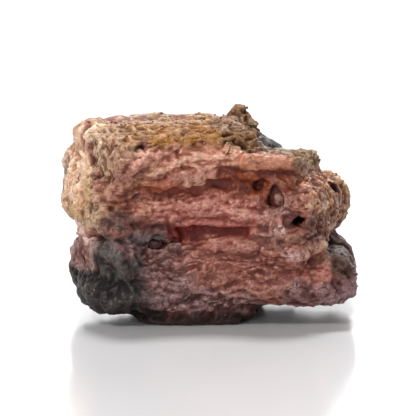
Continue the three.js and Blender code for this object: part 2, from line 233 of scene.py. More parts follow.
@dataclass
class Zones:
    """Where each kind of tissue shows, and where shade and light are painted, as patches laid one over the
    other.
    """

    palette: Palette = field(default_factory=Palette)
    fray_length: float = 2.4
    fray: float = 0.42
    finer: float = 2.3
    patches: list[Patch] = field(init=False)

    def __post_init__(self) -> None:
        """Puts the patches one over the other, from the lowest to the uppermost."""
        self.patches = [*self.cut_face(), *self.corners(), *self.top(), *self.sides()]
        self.patches += [*self.lump(), *self.tail(), *self.spots()]

    def cut_face(self) -> list[Patch]:
        """The raw flesh of the cut face, from its top to its foot."""
        c = self.palette
        return [
            Patch("upper flesh", FLESH, c.pink, (1.0, -11.0, 20.6), (12.0, 9.0, 2.2)),
            Patch("middle flesh", FLESH, c.rose, (-0.5, -11.0, 14.2), (9.5, 7.0, 2.3)),
            Patch("lower dusk", FLESH, c.mauve, (-5.2, -11.0, 6.0), (4.8, 8.0, 5.0), strength=0.8,
                  softness=0.3),
            Patch("low fringe", FLESH, c.mauve, (0.6, -11.0, 3.0), (7.6, 8.0, 2.0), strength=0.8,
                  softness=0.4),
            Patch("lower shade", FLESH, c.low_shade, (3.6, -11.0, 8.8), (2.8, 6.0, 1.7), strength=0.7,
                  softness=0.4),
            Patch("left groove", FLESH, c.brown_groove, (-4.2, -10.0, 17.0), (5.2, 7.0, 1.7), softness=0.3),
            Patch("ledge rim", FLESH, c.rim, (7.2, -10.0, 20.4), (6.0, 8.0, 1.7), frayed=0.6, softness=0.3),
            Patch("under the ledge", FLESH, c.ledge_shade, (5.4, -10.0, 17.5), (6.0, 7.0, 2.0),
                  softness=0.22),
        ]

    def corners(self) -> list[Patch]:
        """The granular right side, the pitted left corner, and pink painted as light in and by the grooves.
        """
        c = self.palette
        return [
            Patch("right side", GRAIN, c.grain_tan, (16.2, -2.0, 14.6), (5.8, 15.0, 6.4), softness=0.35),
            Patch("lower left", PITTED, c.pitted_brown, (-11.6, -10.0, 14.2), (2.4, 8.0, 4.2),
                  softness=0.45),
            Patch("upper left", PITTED, c.pitted_tan, (-11.4, -9.0, 20.4), (5.6, 9.0, 4.2), softness=0.45),
            Patch("left corner", PITTED, c.pitted_tan, (-14.0, -9.0, 16.0), (2.4, 9.0, 6.4), softness=0.3),
            Patch("upper mottle", PITTED, c.pitted_brown, (-9.8, -10.0, 18.9), (1.9, 7.0, 2.9),
                  softness=0.4),
            Patch("corner mottle", PITTED, c.pitted_brown, (-12.8, -9.0, 16.8), (1.2, 6.0, 1.9),
                  softness=0.4),
            Patch("lower mottle", PITTED, c.vessel_brown, (-10.3, -10.0, 13.1), (1.6, 7.0, 1.5),
                  strength=0.9, softness=0.4),
            # Painted light: pink laid in the shade of the grooves and of the ledge's end.
            Patch("light in the groove", FLESH, c.pink, (-1.5, -10.0, 17.6), (1.3, 6.0, 0.9), softness=0.5),
            Patch("light by the groove", FLESH, c.pink, (-7.6, -10.0, 14.6), (1.9, 6.0, 2.0),
                  strength=0.5, softness=0.5),
            Patch("groove's end", FLESH, c.pink, (11.8, -9.0, 18.1), (2.0, 6.0, 1.6), softness=0.5),
        ]

    def top(self) -> list[Patch]:
        """The skin of the top and of the ledge."""
        c = self.palette
        return [
            Patch("top", SKIN, c.top_gold, (-3.5, 2.0, 25.0), (16.0, 26.0, 4.0), (0.0, -0.25, 1.0),
                  frayed=0.3),
            Patch("top's bloom", SKIN, c.cream, (-3.0, 4.0, 27.0), (20.0, 20.0, 3.5), strength=0.3,
                  frayed=-1.7, softness=0.35),
            Patch("top's mottle", PITTED, c.top_brown, (-3.0, 1.0, 27.0), (20.0, 20.0, 3.7),
                  strength=0.9, frayed=1.7, softness=0.3),
            Patch("top's back", PITTED, c.pitted_tan, (-8.0, 8.4, 24.0), (8.0, 5.0, 4.0), strength=0.9,
                  frayed=1.3),
            Patch("top's stain", CHAR, c.scorched, (-9.4, 3.4, 24.4), (2.4, 2.8, 3.0), strength=0.7,
                  softness=0.6),
            Patch("top's side", SKIN, c.bronze, (-12.4, -2.0, 24.0), (3.4, 6.0, 3.0), strength=0.9,
                  softness=0.5),
            Patch("top's front", SKIN, c.gold, (-2.6, -12.0, 24.0), (8.6, 9.0, 2.5), frayed=0.7,
                  softness=0.3),
            Patch("top's corner", SKIN, c.top_brown, (-11.4, -6.0, 24.2), (2.5, 6.0, 1.8), strength=0.8,
                  softness=0.4),
            Patch("top rim", SKIN, c.cream, (-4.0, 12.0, 23.8), (16.0, 4.2, 3.0), strength=0.8),
            Patch("tip's shade", SKIN, c.tip_brown, (4.0, -1.0, 23.0), (3.9, 14.0, 2.9), frayed=0.6),
            Patch("tip's crest", SKIN, c.bronze, (4.4, 2.0, 25.6), (2.6, 5.0, 1.7), strength=0.8,
                  frayed=0.4),
            Patch("ledge top", SKIN, c.olive, (10.8, 0.0, 20.6), (6.0, 14.0, 3.2), (0.2, 0.0, 1.0), 0.95),
            Patch("ledge's end", SKIN, c.bump, (11.2, -7.0, 20.6), (2.1, 8.0, 2.1), strength=0.95,
                  frayed=0.6),
        ]

    def sides(self) -> list[Patch]:
        """The left side, the right side's stains and the scorched back."""
        c = self.palette
        return [
            Patch("left side", SKIN, c.peach, (-17.6, -1.0, 16.5), (4.6, 14.0, 8.2), (-1.0, -0.3, 0.0)),
            # Painted shade of a fold on the left side, over the skin's own gold-brown.
            Patch("left painted_fold_shade", SKIN, c.gold_brown_with_shade, (-14.8, -7.5, 15.4), (1.6, 4.0, 3.4), strength=0.85,
                  softness=0.4),
            # A pale grey strip along the far left edge.
            Patch("left edge", SKIN, c.pale_edge_grey, (-18.0, 9.0, 15.4), (3.2, 5.4, 4.0), strength=0.75,
                  frayed=1.4, softness=0.5),
            # Painted highlight on the top left corner, in cream.
            Patch("top left corner", SKIN, c.cream, (-14.4, -6.0, 22.2), (2.6, 7.0, 2.2), strength=0.85,
                  softness=0.4),
            Patch("left hem", SKIN, c.bronze, (-15.6, -3.0, 11.7), (2.6, 10.0, 1.4), (-1.0, -0.2, 0.0),
                  0.95),
            Patch("back", CHAR, c.scorched, (0.0, 14.0, 11.0), (24.0, 7.5, 16.0), (0.0, 1.0, 0.0), 0.92),
            Patch("right back", SKIN, c.bronze, (16.4, 8.4, 14.0), (5.4, 5.0, 5.4), strength=0.8,
                  frayed=1.3),
            Patch("right stain", PITTED, c.pitted_brown, (17.6, 0.6, 12.2), (3.0, 3.6, 2.2),
                  strength=0.8, softness=0.5),
            Patch("back shoulder", CHAR, c.soot, (6.6, 7.0, 18.4), (4.4, 5.6, 3.8), frayed=0.9,
                  softness=0.3),
        ]

    def lump(self) -> list[Patch]:
        """The charred lump at the lower left, and the waist and the recess over it."""
        c = self.palette
        return [
            Patch("lump", CHAR, c.charcoal, (-12.6, -5.0, 4.6), (6.9, 16.0, 7.4), frayed=0.35,
                  softness=0.24),
            # Painted sheen: the glossy dark membrane of the lump's crown lightened to grey-green.
            Patch("lump's crown", CHAR, c.grey_green, (-10.2, -9.0, 8.8), (2.6, 7.0, 2.8), strength=0.8,
                  frayed=0.9),
            Patch("by the recess", CHAR, c.dim_mauve, (-9.3, -9.0, 9.8), (1.8, 6.0, 1.7), softness=0.4),
            Patch("left waist", FLESH, c.pale_waist, (-15.2, -5.0, 9.5), (3.3, 9.0, 2.2), strength=0.95,
                  frayed=0.5),
            Patch("dim waist", FLESH, c.dim_waist, (-15.2, -6.0, 7.8), (2.5, 8.0, 2.3), strength=0.9,
                  frayed=0.6),
            Patch("dusk", FLESH, c.vessel_brown, (-10.6, -10.0, 12.8), (2.1, 6.0, 1.7), strength=0.95,
                  softness=0.35),
            Patch("recess", CHAR, c.plum, (-6.4, -10.0, 10.9), (3.6, 6.0, 1.9), frayed=0.7),
        ]

    def tail(self) -> list[Patch]:
        """The low tail at the right."""
        c = self.palette
        return [
            Patch("tail end", CHAR, c.maroon, (17.0, -4.0, 5.2), (4.1, 14.0, 5.0), strength=0.95,
                  frayed=0.7),
            Patch("tail's foot", CHAR, c.mauve, (12.4, -6.0, 4.0), (6.2, 10.0, 2.7), strength=0.8,
                  frayed=0.6),
            Patch("tail's tip", CHAR, c.violet, (17.0, -7.0, 5.2), (1.6, 8.0, 1.5), strength=0.9,
                  softness=0.4),
            Patch("tail's top", CHAR, c.tail_brown, (15.6, -6.0, 7.9), (3.0, 10.0, 2.2), strength=0.95,
                  softness=0.3),
        ]

    def spots(self) -> list[Patch]:
        """The spots and folds round the airway, and the painted shade of the underside."""
        c = self.palette
        return [
            Patch("surround", FLESH, c.surround, (8.0, -11.0, 14.0), (1.9, 6.0, 3.4), strength=0.85),
            Patch("by the vessel", CHAR, c.vessel_brown, (11.2, -10.0, 12.6), (1.5, 5.0, 1.1),
                  strength=0.85),
            Patch("pale fold", FLESH, c.lilac, (10.1, -11.0, 9.1), (1.3, 5.0, 0.9), strength=0.7,
                  softness=0.5),
            Patch("orange crumb", FLESH, c.glow, (13.7, -9.0, 14.0), (0.9, 6.0, 0.8), softness=0.5),
            Patch("upper crumb", FLESH, c.glow, (12.1, -10.0, 15.1), (0.8, 6.0, 0.6), strength=0.7,
                  softness=0.5),
            Patch("pale spot", FLESH, c.lilac, (8.5, -11.0, 12.2), (1.0, 5.0, 0.9), softness=0.5),
            Patch("pink spot", FLESH, c.pink, (13.0, -9.0, 9.3), (1.8, 7.0, 1.3), softness=0.4),
            Patch("dim fold", CHAR, c.vessel_brown, (8.0, -11.0, 10.5), (1.7, 5.0, 0.9), strength=0.5),
            Patch("low pink spot", FLESH, c.rose, (13.9, -9.0, 6.3), (1.1, 6.0, 0.8), softness=0.5),
            Patch("olive spot", CHAR, c.olive, (10.6, -11.0, 11.0), (1.1, 5.0, 0.8), strength=0.8,
                  softness=0.5),
            # Painted shade: the underside by the floor made near black.
            Patch("underside", CHAR, c.underside, (0.0, 0.0, -0.8), (26.0, 20.0, 4.1), frayed=0.4,
                  softness=0.25),
        ]

    def read(
        self, point: Vector, normal: Vector, bore: float, rim: float
    ) -> tuple[list[Vector], dict[Tissue, float]]:
        """The colours of the tissue at a point, and how much of each kind is there.

        Args:
            point: Where on the cube, in millimetres.
            normal: The surface's way out there.
            bore: How much the point lies inside an opened airway.
            rim: How much of an airway's pale gristle shows there.

        Returns:
            The level, deep and crest colours, and a share for each kind of tissue.
        """
        broad = noise.noise(point / self.fray_length)
        fine = noise.noise(point * self.finer / self.fray_length)
        fray = self.fray * (broad + 0.5 * fine)
        flesh = self.palette.flesh
        colours = [Vector(colour) for colour in (flesh.level, flesh.deep, flesh.crest)]
        shares = {kind: float(kind is FLESH) for kind in Tissue}
        covers = [(patch.shades, patch.tissue, patch.weight(point, normal, fray)) for patch in self.patches]
        covers.append((self.palette.gristle, FLESH, rim))
        # Painted shade inside the opened airways.
        covers.append((self.palette.bore, CHAR, bore))
        for shades, tissue, weight in covers:
            if weight <= 0.0:
                continue
            colours = shades.over(colours, weight)
            for kind in shares:
                shares[kind] += weight * ((kind is tissue) - shares[kind])
        return colours, shares


@dataclass(frozen=True)
class Airway:
    """An airway or vessel that the knife opened, with its bearing from -Y towards +X, in degrees."""

    name: str
    bearing: float
    height: float
    radius: float
    tall: float = 1.0
    gristle: float = 0.0
    squeeze: tuple[float, float] = (0.3, 0.0)


@dataclass(frozen=True)
class Mouth:
    """Where an airway opens in the skin, in millimetres, and the level way out of it."""

    airway: Airway
    centre: Vector
    outwards: Vector
    deepest: float = 4.5
    outmost: float = 2.5
    elsewhere: float = 9.0
    rim_place: float = 1.32
    rim_width: float = 0.2
    slumped: Limits = (1.0, 2.4)

    @property
    def across(self) -> Vector:
        """The level way across the mouth."""
        return UP.cross(self.outwards)

    def spread(self, point: Vector) -> float:
        """How far a point is from the airway's axis, as a share of its radius.

        Args:
            point: Where on the cube, in millimetres.

        Returns:
            0 on the axis, and 1 on the airway's wall.
        """
        away = point - self.centre
        if not -self.deepest <= away.dot(self.outwards) <= self.outmost:
            return self.elsewhere
        return math.hypot(away.dot(self.across), away.dot(UP) / self.airway.tall) / self.airway.radius

    def rim(self, point: Vector) -> float:
        """How much of the airway's pale gristle shows at a point.

        Args:
            point: Where on the cube, in millimetres.

        Returns:
            A share from 0 to the gristle's strength.
        """
        if self.airway.gristle == 0.0:
            return 0.0
        stray = 0.3 * noise.noise(point / 0.8)
        away = (self.spread(point) - self.rim_place + stray) / self.rim_width
        return self.airway.gristle * math.exp(-(away**2))

    def slump(self, point: Vector) -> Vector:
        """How far a point near the mouth moved as the airway's wall dried and gave way.

        Args:
            point: Where on the cube, in millimetres.

        Returns:
            The way that it moved, in millimetres.
        """
        share = 1.0 - smooth_ramp(self.spread(point), *self.slumped)
        if share <= 0.0:
            return Vector()
        away = point - self.centre
        sideways, upwards = self.airway.squeeze
        drawn = self.across * away.dot(self.across) * sideways + UP * away.dot(UP) * upwards
        ragged = 0.45 * self.airway.radius * noise.noise_vector(point / (1.2 * self.airway.radius))
        return share * (ragged - ragged.dot(self.outwards) * self.outwards - drawn)


@dataclass(frozen=True)
class Airways:
    """The airways that open in the cube's sides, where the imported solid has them."""

    core: tuple[float, float] = (-0.7, -0.28)
    margin: float = 0.7
    far: float = 30.0

    def listed(self) -> list[Airway]:
        """The airways, in millimetres and degrees."""
        return [
            Airway("cut airway", 37, 15.9, 1.2, 1.35, squeeze=(0.12, 0.0)),
            Airway("right vessel", 43, 13.1, 0.85, squeeze=(-0.15, -0.05)),
            Airway("dark recess", -27, 10.0, 1.1, 0.85, squeeze=(-0.3, 0.3)),
            Airway("upper pore", -31, 21.9, 0.5),
            Airway("corner pore", -43, 18.6, 0.5, 1.2),
            Airway("right side airway", 97, 13.6, 1.1, gristle=0.6, squeeze=(0.4, 0.0)),
            Airway("back airway", 188, 11.0, 1.5, 1.1, gristle=0.7, squeeze=(0.35, 0.05)),
            Airway("back vessel", 152, 15.6, 0.75, squeeze=(0.0, 0.45)),
            Airway("left pore", -88, 6.2, 0.6, squeeze=(0.5, 0.0)),
        ]

    def mouths(self, tree: BVHTree) -> list[Mouth]:
        """Finds each airway's mouth by casting rays at the skin round it.

        Args:
            tree: The skin, in metres.

        Returns:
            The mouths.
        """
        found = []
        for airway in self.listed():
            angle = math.radians(airway.bearing)
            way = Vector((math.sin(angle), -math.cos(angle), 0.0))
            side = UP.cross(way)
            start = Vector((*self.core, airway.height)) + self.far * way
            rim = airway.radius + self.margin
            starts = (start + side * rim, start - side * rim)
            one, other = (tree.ray_cast(place * MM, -way)[0] / MM for place in starts)
            level = one - other
            level.z = 0.0
            outwards = level.cross(UP).normalized()
            outwards = outwards if outwards.dot(way) > 0.0 else -outwards
            centre = (one + other) / 2
            centre.z = airway.height
            found.append(Mouth(airway, centre, outwards))
        return found


@dataclass(frozen=True)
class Stroke:
    """A ridge or, with a height under 0, a groove drawn across the cut face as a line of (x, z) points."""

    name: str
    line: tuple[tuple[float, float], ...]
    width: float
    height: float
    tint: Shades | None = None
    tint_width: float = 1.0
    strength: float = 0.8

    def gap(self, point: Vector) -> float:
        """Distance from a point of the cut face to the stroke's line.

        Args:
            point: Where on the cube, in millimetres.

        Returns:
            The distance in millimetres.
        """
        nearest = math.inf
        for (ax, az), (bx, bz) in zip(self.line, self.line[1:]):
            dx, dz = bx - ax, bz - az
            share = min(max(((point.x - ax) * dx + (point.z - az) * dz) / (dx * dx + dz * dz), 0.0), 1.0)
            nearest = min(nearest, math.hypot(point.x - ax - share * dx, point.z - az - share * dz))
        return nearest

    def lift(self, point: Vector) -> float:
        """Height that the stroke adds at a point, in millimetres."""
        return self.height * math.exp(-((self.gap(point) / self.width) ** 2))

    def cover(self, point: Vector) -> float:
        """How much the stroke's own colour covers a point, from 0 to its strength."""
        return self.strength * math.exp(-((self.gap(point) / self.tint_width) ** 2))


@dataclass
class CutFace:
    """The ridges and grooves that the drying left on the cut face, in millimetres."""

    # Tints along the strokes: on the ridges, the flesh's pink lightened by a painted highlight; in the
    # grooves, a dark painted shade; on the seams, their own red and brown.
    pink_highlight: Shades = Shades((0.56, 0.27, 0.185), (0.26, 0.072, 0.040), (0.76, 0.47, 0.35))
    blush_highlight: Shades = Shades((0.43, 0.160, 0.120), (0.20, 0.040, 0.026), (0.62, 0.32, 0.25))
    dark: Shades = Shades((0.150, 0.023, 0.003), (0.080, 0.007, 0.001), (0.25, 0.060, 0.015))
    red: Shades = Shades((0.19, 0.012, 0.005), (0.10, 0.004, 0.001), (0.28, 0.045, 0.026))
    brown: Shades = Shades((0.110, 0.030, 0.024), (0.045, 0.008, 0.006), (0.22, 0.085, 0.068))
    turned: Limits = (0.0, 0.45)
    forward: Limits = (3.0, 7.0)
    strokes: list[Stroke] = field(init=False)

    def __post_init__(self) -> None:
        """Lists the strokes, from the top of the face to its foot."""
        pink_highlight, blush_highlight, dark, red, brown = self.pink_highlight, self.blush_highlight, self.dark, self.red, self.brown
        self.strokes = [
            # The ridges' pink tints carry a painted highlight.
            Stroke("upper left ridge", ((-8.7, 19.8), (-6.6, 20.9), (-4.2, 21.0)), 0.5, 0.4, blush_highlight, 0.8),
            Stroke("upper arch", ((-3.9, 19.7), (-1.4, 20.6), (1.8, 20.7)), 0.5, 0.45, pink_highlight, 0.9),
            Stroke("ledge's rim", ((2.4, 20.8), (6.6, 20.6), (10.9, 20.3)), 0.4, 0.4),
            # Painted shade: the dark tint under the rim and in the grooves, here and below.
            Stroke("under the rim", ((1.6, 18.8), (4.2, 18.8), (10.2, 18.9)), 0.6, -0.5, dark, 0.8),
            Stroke("groove's bed", ((-1.5, 17.0), (3.0, 17.0), (8.6, 17.0)), 0.8, -0.3, dark, 1.0),
            Stroke("slanting ridge", ((-3.2, 18.3), (-1.2, 18.6), (0.9, 18.5)), 0.5, 0.45, blush_highlight, 0.8, 0.6),
            Stroke("left groove", ((-8.4, 17.2), (-5.4, 16.6), (-2.0, 16.6)), 0.6, -0.2, dark, 0.7, 0.2),
            # Painted highlight in the groove.
            Stroke("light in the groove", ((-2.2, 17.5), (-0.7, 17.5)), 0.7, 0.55, pink_highlight, 0.9, 0.95),
            Stroke("left ridge", ((-8.6, 15.2), (-6.0, 14.9)), 0.5, 0.35),
            Stroke("middle ridge", ((-5.8, 14.5), (-1.0, 14.9), (4.2, 14.3)), 0.7, 0.45, blush_highlight, 1.1),
            Stroke("middle ridge's end", ((4.6, 13.4), (8.4, 13.3)), 0.7, 0.3, blush_highlight, 0.9, 0.5),
            Stroke("middle line", ((-2.5, 13.2), (2.8, 12.9)), 0.3, -0.2),
            Stroke("brown seam", ((-8.6, 12.3), (-5.6, 12.0), (-3.6, 11.7)), 0.5, -0.5, brown, 0.9, 0.9),
            Stroke("red seam", ((-3.4, 11.6), (1.4, 11.6), (4.2, 11.8)), 0.5, -0.5, red, 0.9, 0.95),
            Stroke("seam's foot", ((-4.6, 10.6), (-1.0, 10.3)), 0.6, -0.2, red, 0.8, 0.7),
            Stroke("dark of the airway", ((6.3, 15.9), (6.6, 14.9)), 0.4, -0.15, dark, 0.5, 0.7),
            Stroke("low ridge", ((0.2, 10.1), (4.6, 10.3)), 0.5, 0.35, blush_highlight, 0.7, 0.5),
            Stroke("low line", ((-1.4, 9.1), (5.8, 9.2)), 0.35, -0.3),
            Stroke("lowest ridge", ((-3.6, 7.6), (0.5, 8.0), (4.8, 7.7)), 0.7, 0.3, blush_highlight, 0.9, 0.4),
            Stroke("spot by the vessel", ((6.1, 12.2), (6.5, 12.0)), 0.45, -0.5),
            Stroke("foot crease", ((1.2, 2.3), (5.4, 2.4)), 0.45, -0.45),
        ]

    def on_face(self, point: Vector, normal: Vector) -> float:
        """How much a point belongs to the cut face, from 0 to 1."""
        return smooth_ramp(-normal.y, *self.turned) * smooth_ramp(-point.y, *self.forward)

    def lift(self, point: Vector, normal: Vector) -> float:
        """Height that all the strokes add at a point.

        Args:
            point: Where on the cube, in millimetres.
            normal: The surface's way out there.

        Returns:
            The height in millimetres.
        """
        on_face = self.on_face(point, normal)
        if on_face <= 0.0:
            return 0.0
        return on_face * sum(stroke.lift(point) for stroke in self.strokes)

    def paint(self, colours: list[Vector], point: Vector, normal: Vector) -> list[Vector]:
        """Lays the strokes' own colours over the tissue's.

        Args:
            colours: The level, deep and crest colours there.
            point: Where on the cube, in millimetres.
            normal: The surface's way out there.

        Returns:
            The three colours with the strokes on them.
        """
        on_face = self.on_face(point, normal)
        if on_face <= 0.0:
            return colours
        for stroke in self.strokes:
            if stroke.tint is not None:
                colours = stroke.tint.over(colours, on_face * stroke.cover(point))
        return colours


@dataclass(frozen=True)
class Swell:
    """A place where the skin stands out by a height, in millimetres, before it is crumpled."""

    name: str
    centre: Place
    reach: Place
    height: float

    def lift(self, point: Vector) -> float:
        """Height of the swelling at a point."""
        return self.height * math.exp(-off_centre(point, self.centre, self.reach))


@dataclass(frozen=True)
class CurledTip:
    """The thin curl at the end of the top layer, pinched from the solid's thicker one, in millimetres."""

    axis: tuple[float, float] = (4.2, 2.2)
    heights: Limits = (21.9, 23.4)
    reach: Limits = (2.0, 3.4)
    pinch: float = 0.45

    def draw_in(self, point: Vector) -> Vector:
        """Moves a point of the tip towards its axis.

        Args:
            point: Where on the cube.

        Returns:
            The moved point.
        """
        away = Vector((point.x - self.axis[0], point.y - self.axis[1], 0.0))
        share = smooth_ramp(point.z, *self.heights) * (1.0 - smooth_ramp(away.length, *self.reach))
        return point - self.pinch * share * away


@dataclass
class FineRelief:
    """The crumpling of the skin that is finer than the solid's own folds. Every length is in millimetres."""

    warp: float = 0.7
    warp_length: float = 3.0
    bed: float = 4.2
    bed_shift: Place = (9.1, 2.7, 5.3)
    layer: Place = (5.2, 3.6, 0.95)
    layer_height: float = 0.26
    lump: float = 2.8
    lump_height: float = 0.30
    granule: float = 0.85
    granule_height: float = 0.26
    fibre: Place = (2.6, 1.1, 0.5)
    fibre_shift: Place = (3.3, 0.7, 8.8)
    fibre_height: float = 0.16
    pore_spacing: float = 1.4
    pore_depth: float = 0.42
    pit_spacing: float = 2.1
    pit_depth: float = 0.75
    wall: Place = (1.5, 1.5, 1.9)
    wall_shift: Place = (1.7, 3.1, 5.2)
    wall_height: float = 0.34
    fold_spacing: float = 2.1
    fold_height: float = 0.55
    crinkle: Place = (1.0, 0.9, 1.3)
    crinkle_shift: Place = (4.4, 8.2, 1.6)
    crinkle_height: float = 0.2
    grit: float = 0.45
    grit_height: float = 0.1
    wrinkle: float = 2.3
    wrinkle_height: float = 0.46
    wrinkle_slant: float = 0.35
    fine_wrinkle: float = 0.95
    fine_wrinkle_shift: Place = (2.2, 6.1, 0.4)
    fine_wrinkle_height: float = 0.22
    crackle: float = 0.6
    grain: float = 1.15
    grain_height: float = 0.5
    roughness: float = 0.12
    fullness: float = 0.12
    least_share: float = 0.01
    calm: float = 0.8
    swells: tuple[Swell, ...] = (
        Swell("waist", (-14.8, -5.0, 9.6), (3.3, 8.0, 1.5), 1.4),
        Swell("left hem", (-16.6, -3.0, 11.5), (2.4, 8.0, 1.2), 0.6),
        Swell("lump", (-15.5, -4.0, 4.6), (3.0, 5.0, 3.0), 0.5),
        Swell("lump's foot", (-9.8, -7.0, 0.4), (3.8, 8.0, 1.7), -0.8),
        Swell("lump's hollow", (-13.0, 6.0, 0.8), (5.0, 6.0, 2.2), -1.2),
        Swell("pink spot", (13.2, -9.0, 9.2), (1.7, 3.5, 1.2), 0.8),
        Swell("by the tip", (1.6, 1.0, 24.2), (2.0, 4.5, 2.2), 0.75),
        Swell("back shoulder", (5.8, 8.0, 18.6), (2.4, 3.0, 2.4), 1.7),
        Swell("top left corner", (-16.0, -8.0, 22.0), (2.4, 2.4, 2.4), 0.35),
    )
    tip: CurledTip = CurledTip()
    face: CutFace = field(default_factory=CutFace)

    def opening(self, point: Vector, share: float, wide: float) -> float:
        """Depth, from 0 to 1, of the pores that open in a share of the cells.

        Args:
            point: Where on the cube, already divided by the pores' spacing.
            share: How many of the cells have a pore.
            wide: The pore's radius, as a share of the spacing.

        Returns:
            How deep the pore is there.
        """
        distances, cells = noise.voronoi(point)
        if noise.cell(cells[0] * 7.3) > share:
            return 0.0
        return 1.0 - smooth_ramp(distances[0], 0.25 * wide, wide)

    def flesh(self, q: Vector) -> float:
        """Height of raw cut flesh: long thin layers with grains between them.

        Args:
            q: The warped point, in millimetres.

        Returns:
            The height over the smooth skin.
        """
        layered = smooth_ramp(noise.noise(q / self.bed + Vector(self.bed_shift)), -0.25, 0.25)
        layers = ridged(stretched(q, *self.layer))
        lumps = billowed(stretched(q, 1.5 * self.lump, self.lump, 0.75 * self.lump))
        granules = billowed(stretched(q, 1.3 * self.granule, self.granule, 0.8 * self.granule))
        grit = billowed(q / (0.5 * self.granule))
        fibres = ridged(stretched(q, *self.fibre) + Vector(self.fibre_shift))
        spacing = self.pore_spacing
        pores = self.opening(stretched(q, 1.3 * spacing, spacing, 0.9 * spacing), 0.18, 0.22)
        height = self.layer_height * layered * (layers - MEAN_RIDGE)
        height += self.lump_height * (lumps - MEAN_BILLOW)
        height += self.granule_height * (granules - MEAN_BILLOW) * (1.25 - 0.75 * layered)
        height += 0.5 * self.granule_height * (grit - MEAN_BILLOW)
        height += self.fibre_height * (fibres - MEAN_RIDGE)
        return height - self.pore_depth * pores

    def skin(self, q: Vector, normal: Vector) -> float:
        """Height of the dried outer skin: upright puckers on the sides, low crinkles on the top.

        Args:
            q: The warped point, in millimetres.
            normal: The surface's way out there.

        Returns:
            The height over the smooth skin.
        """
        upright = 1.0 - abs(normal.z)
        puckers = ridged(stretched(q, self.fold_spacing, self.fold_spacing, 3.0 + 4.0 * upright))
        crinkles = ridged(stretched(q, *self.crinkle) + Vector(self.crinkle_shift))
        grit = billowed(q / self.grit)
        pores = self.opening(q / self.pore_spacing, 0.2, 0.3)
        height = self.fold_height * (puckers - MEAN_RIDGE) + self.crinkle_height * (crinkles - MEAN_RIDGE)
        return height + self.grit_height * (grit - MEAN_BILLOW) - self.pore_depth * pores

    def pitted(self, q: Vector, normal: Vector) -> float:
        """Height of skin that dried full of pits, with thin walls standing between them.

        Args:
            q: The warped point, in millimetres.
            normal: The surface's way out there.

        Returns:
            The height over the smooth skin.
        """
        pits = self.opening(q / self.pit_spacing, 0.6, 0.36)
        walls = ridged(stretched(q, *self.wall) + Vector(self.wall_shift))
        return 0.5 * self.skin(q, normal) + self.wall_height * (walls - MEAN_BILLOW) - self.pit_depth * pits

    def grains(self, q: Vector) -> float:
        """Height of the side where the tissue dried into crumbs.

        Args:
            q: The warped point, in millimetres.

        Returns:
            The height over the smooth skin.
        """
        distances, cells = noise.voronoi(q / self.grain)
        crumb = smooth_ramp(distances[1] - distances[0], 0.0, 0.5)
        size = 0.55 + 0.75 * noise.cell(cells[0] * 5.9)
        rough = noise.noise(q / self.grit)
        return self.grain_height * (size * crumb - 0.5) + self.roughness * rough

    def char(self, q: Vector) -> float:
        """Height of scorched skin: slanting wrinkles with sharp crests, smooth between them.

        Args:
            q: The warped point, in millimetres.

        Returns:
            The height over the smooth skin.
        """
        slanted = Vector((q.x + self.wrinkle_slant * q.z, q.y, q.z))
        broad = ridged(stretched(slanted, 0.8 * self.wrinkle, self.wrinkle, 1.5 * self.wrinkle))
        fine = ridged(q / self.fine_wrinkle + Vector(self.fine_wrinkle_shift))
        crackle = billowed(q / self.crackle)
        height = self.wrinkle_height * (broad - MEAN_RIDGE) + self.fine_wrinkle_height * (fine - MEAN_RIDGE)
        return height + self.grit_height * (crackle - MEAN_BILLOW)

    def height(self, point: Vector, normal: Vector, shares: dict[Tissue, float], bore: float) -> float:
        """Height of the crumpled surface over the smooth one.

        Args:
            point: Where on the cube, in millimetres.
            normal: The surface's way out there.
            shares: How much of each kind of tissue is there.
            bore: How much the point lies inside an opened airway.

        Returns:
            The height in millimetres, negative in hollows.
        """
        q = point + self.warp * noise.noise_vector(point / self.warp_length)
        makers: dict[Tissue, Callable[[], float]] = {
            FLESH: lambda: self.flesh(q),
            SKIN: lambda: self.skin(q, normal),
            PITTED: lambda: self.pitted(q, normal),
            GRAIN: lambda: self.grains(q),
            CHAR: lambda: self.char(q),
        }
        total = sum(share * makers[kind]() for kind, share in shares.items() if share > self.least_share)
        total += self.face.lift(0.6 * q + 0.4 * point, normal)
        total *= 1.0 - self.calm * bore
        return total + self.fullness + sum(swell.lift(point) for swell in self.swells)


def even_out(bm: bmesh.types.BMesh, factor: float) -> None:
    """Draws every vertex towards its neighbours by a share of the way."""
    axes = {"use_axis_x": True, "use_axis_y": True, "use_axis_z": True}
    bmesh.ops.smooth_vert(bm, verts=bm.verts, factor=factor, **axes)


def opened(mesh: bpy.types.Mesh) -> bmesh.types.BMesh:
    """Copies a mesh into a bmesh.

    Args:
        mesh: The mesh to copy.

    Returns:
        The bmesh.
    """
    bm = bmesh.new()
    bm.from_mesh(mesh)
    return bm


def search_tree(mesh: bpy.types.Mesh) -> BVHTree:
    """Makes a mesh ready for rays to be cast at it.

    Args:
        mesh: The mesh, in metres.

    Returns:
        Its search tree.
    """
    bm = opened(mesh)
    tree = BVHTree.FromBMesh(bm)
    bm.free()
    return tree


def store(mesh: bpy.types.Mesh, name: str, values: Sequence[float]) -> None:
    """Stores a number for each vertex of a mesh under a name."""
    mesh.attributes.new(name, "FLOAT", "POINT").data.foreach_set("value", values)


def vectors(mesh: bpy.types.Mesh, name: str) -> np.ndarray:
    """Reads a vector for each vertex of a mesh.

    Args:
        mesh: The mesh.
        name: Which of the vertices' vectors, such as normal.

    Returns:
        The vectors, one in a row.
    """
    values = np.empty(len(mesh.vertices) * 3)
    mesh.vertices.foreach_get(name, values)
    return values.reshape(-1, 3)


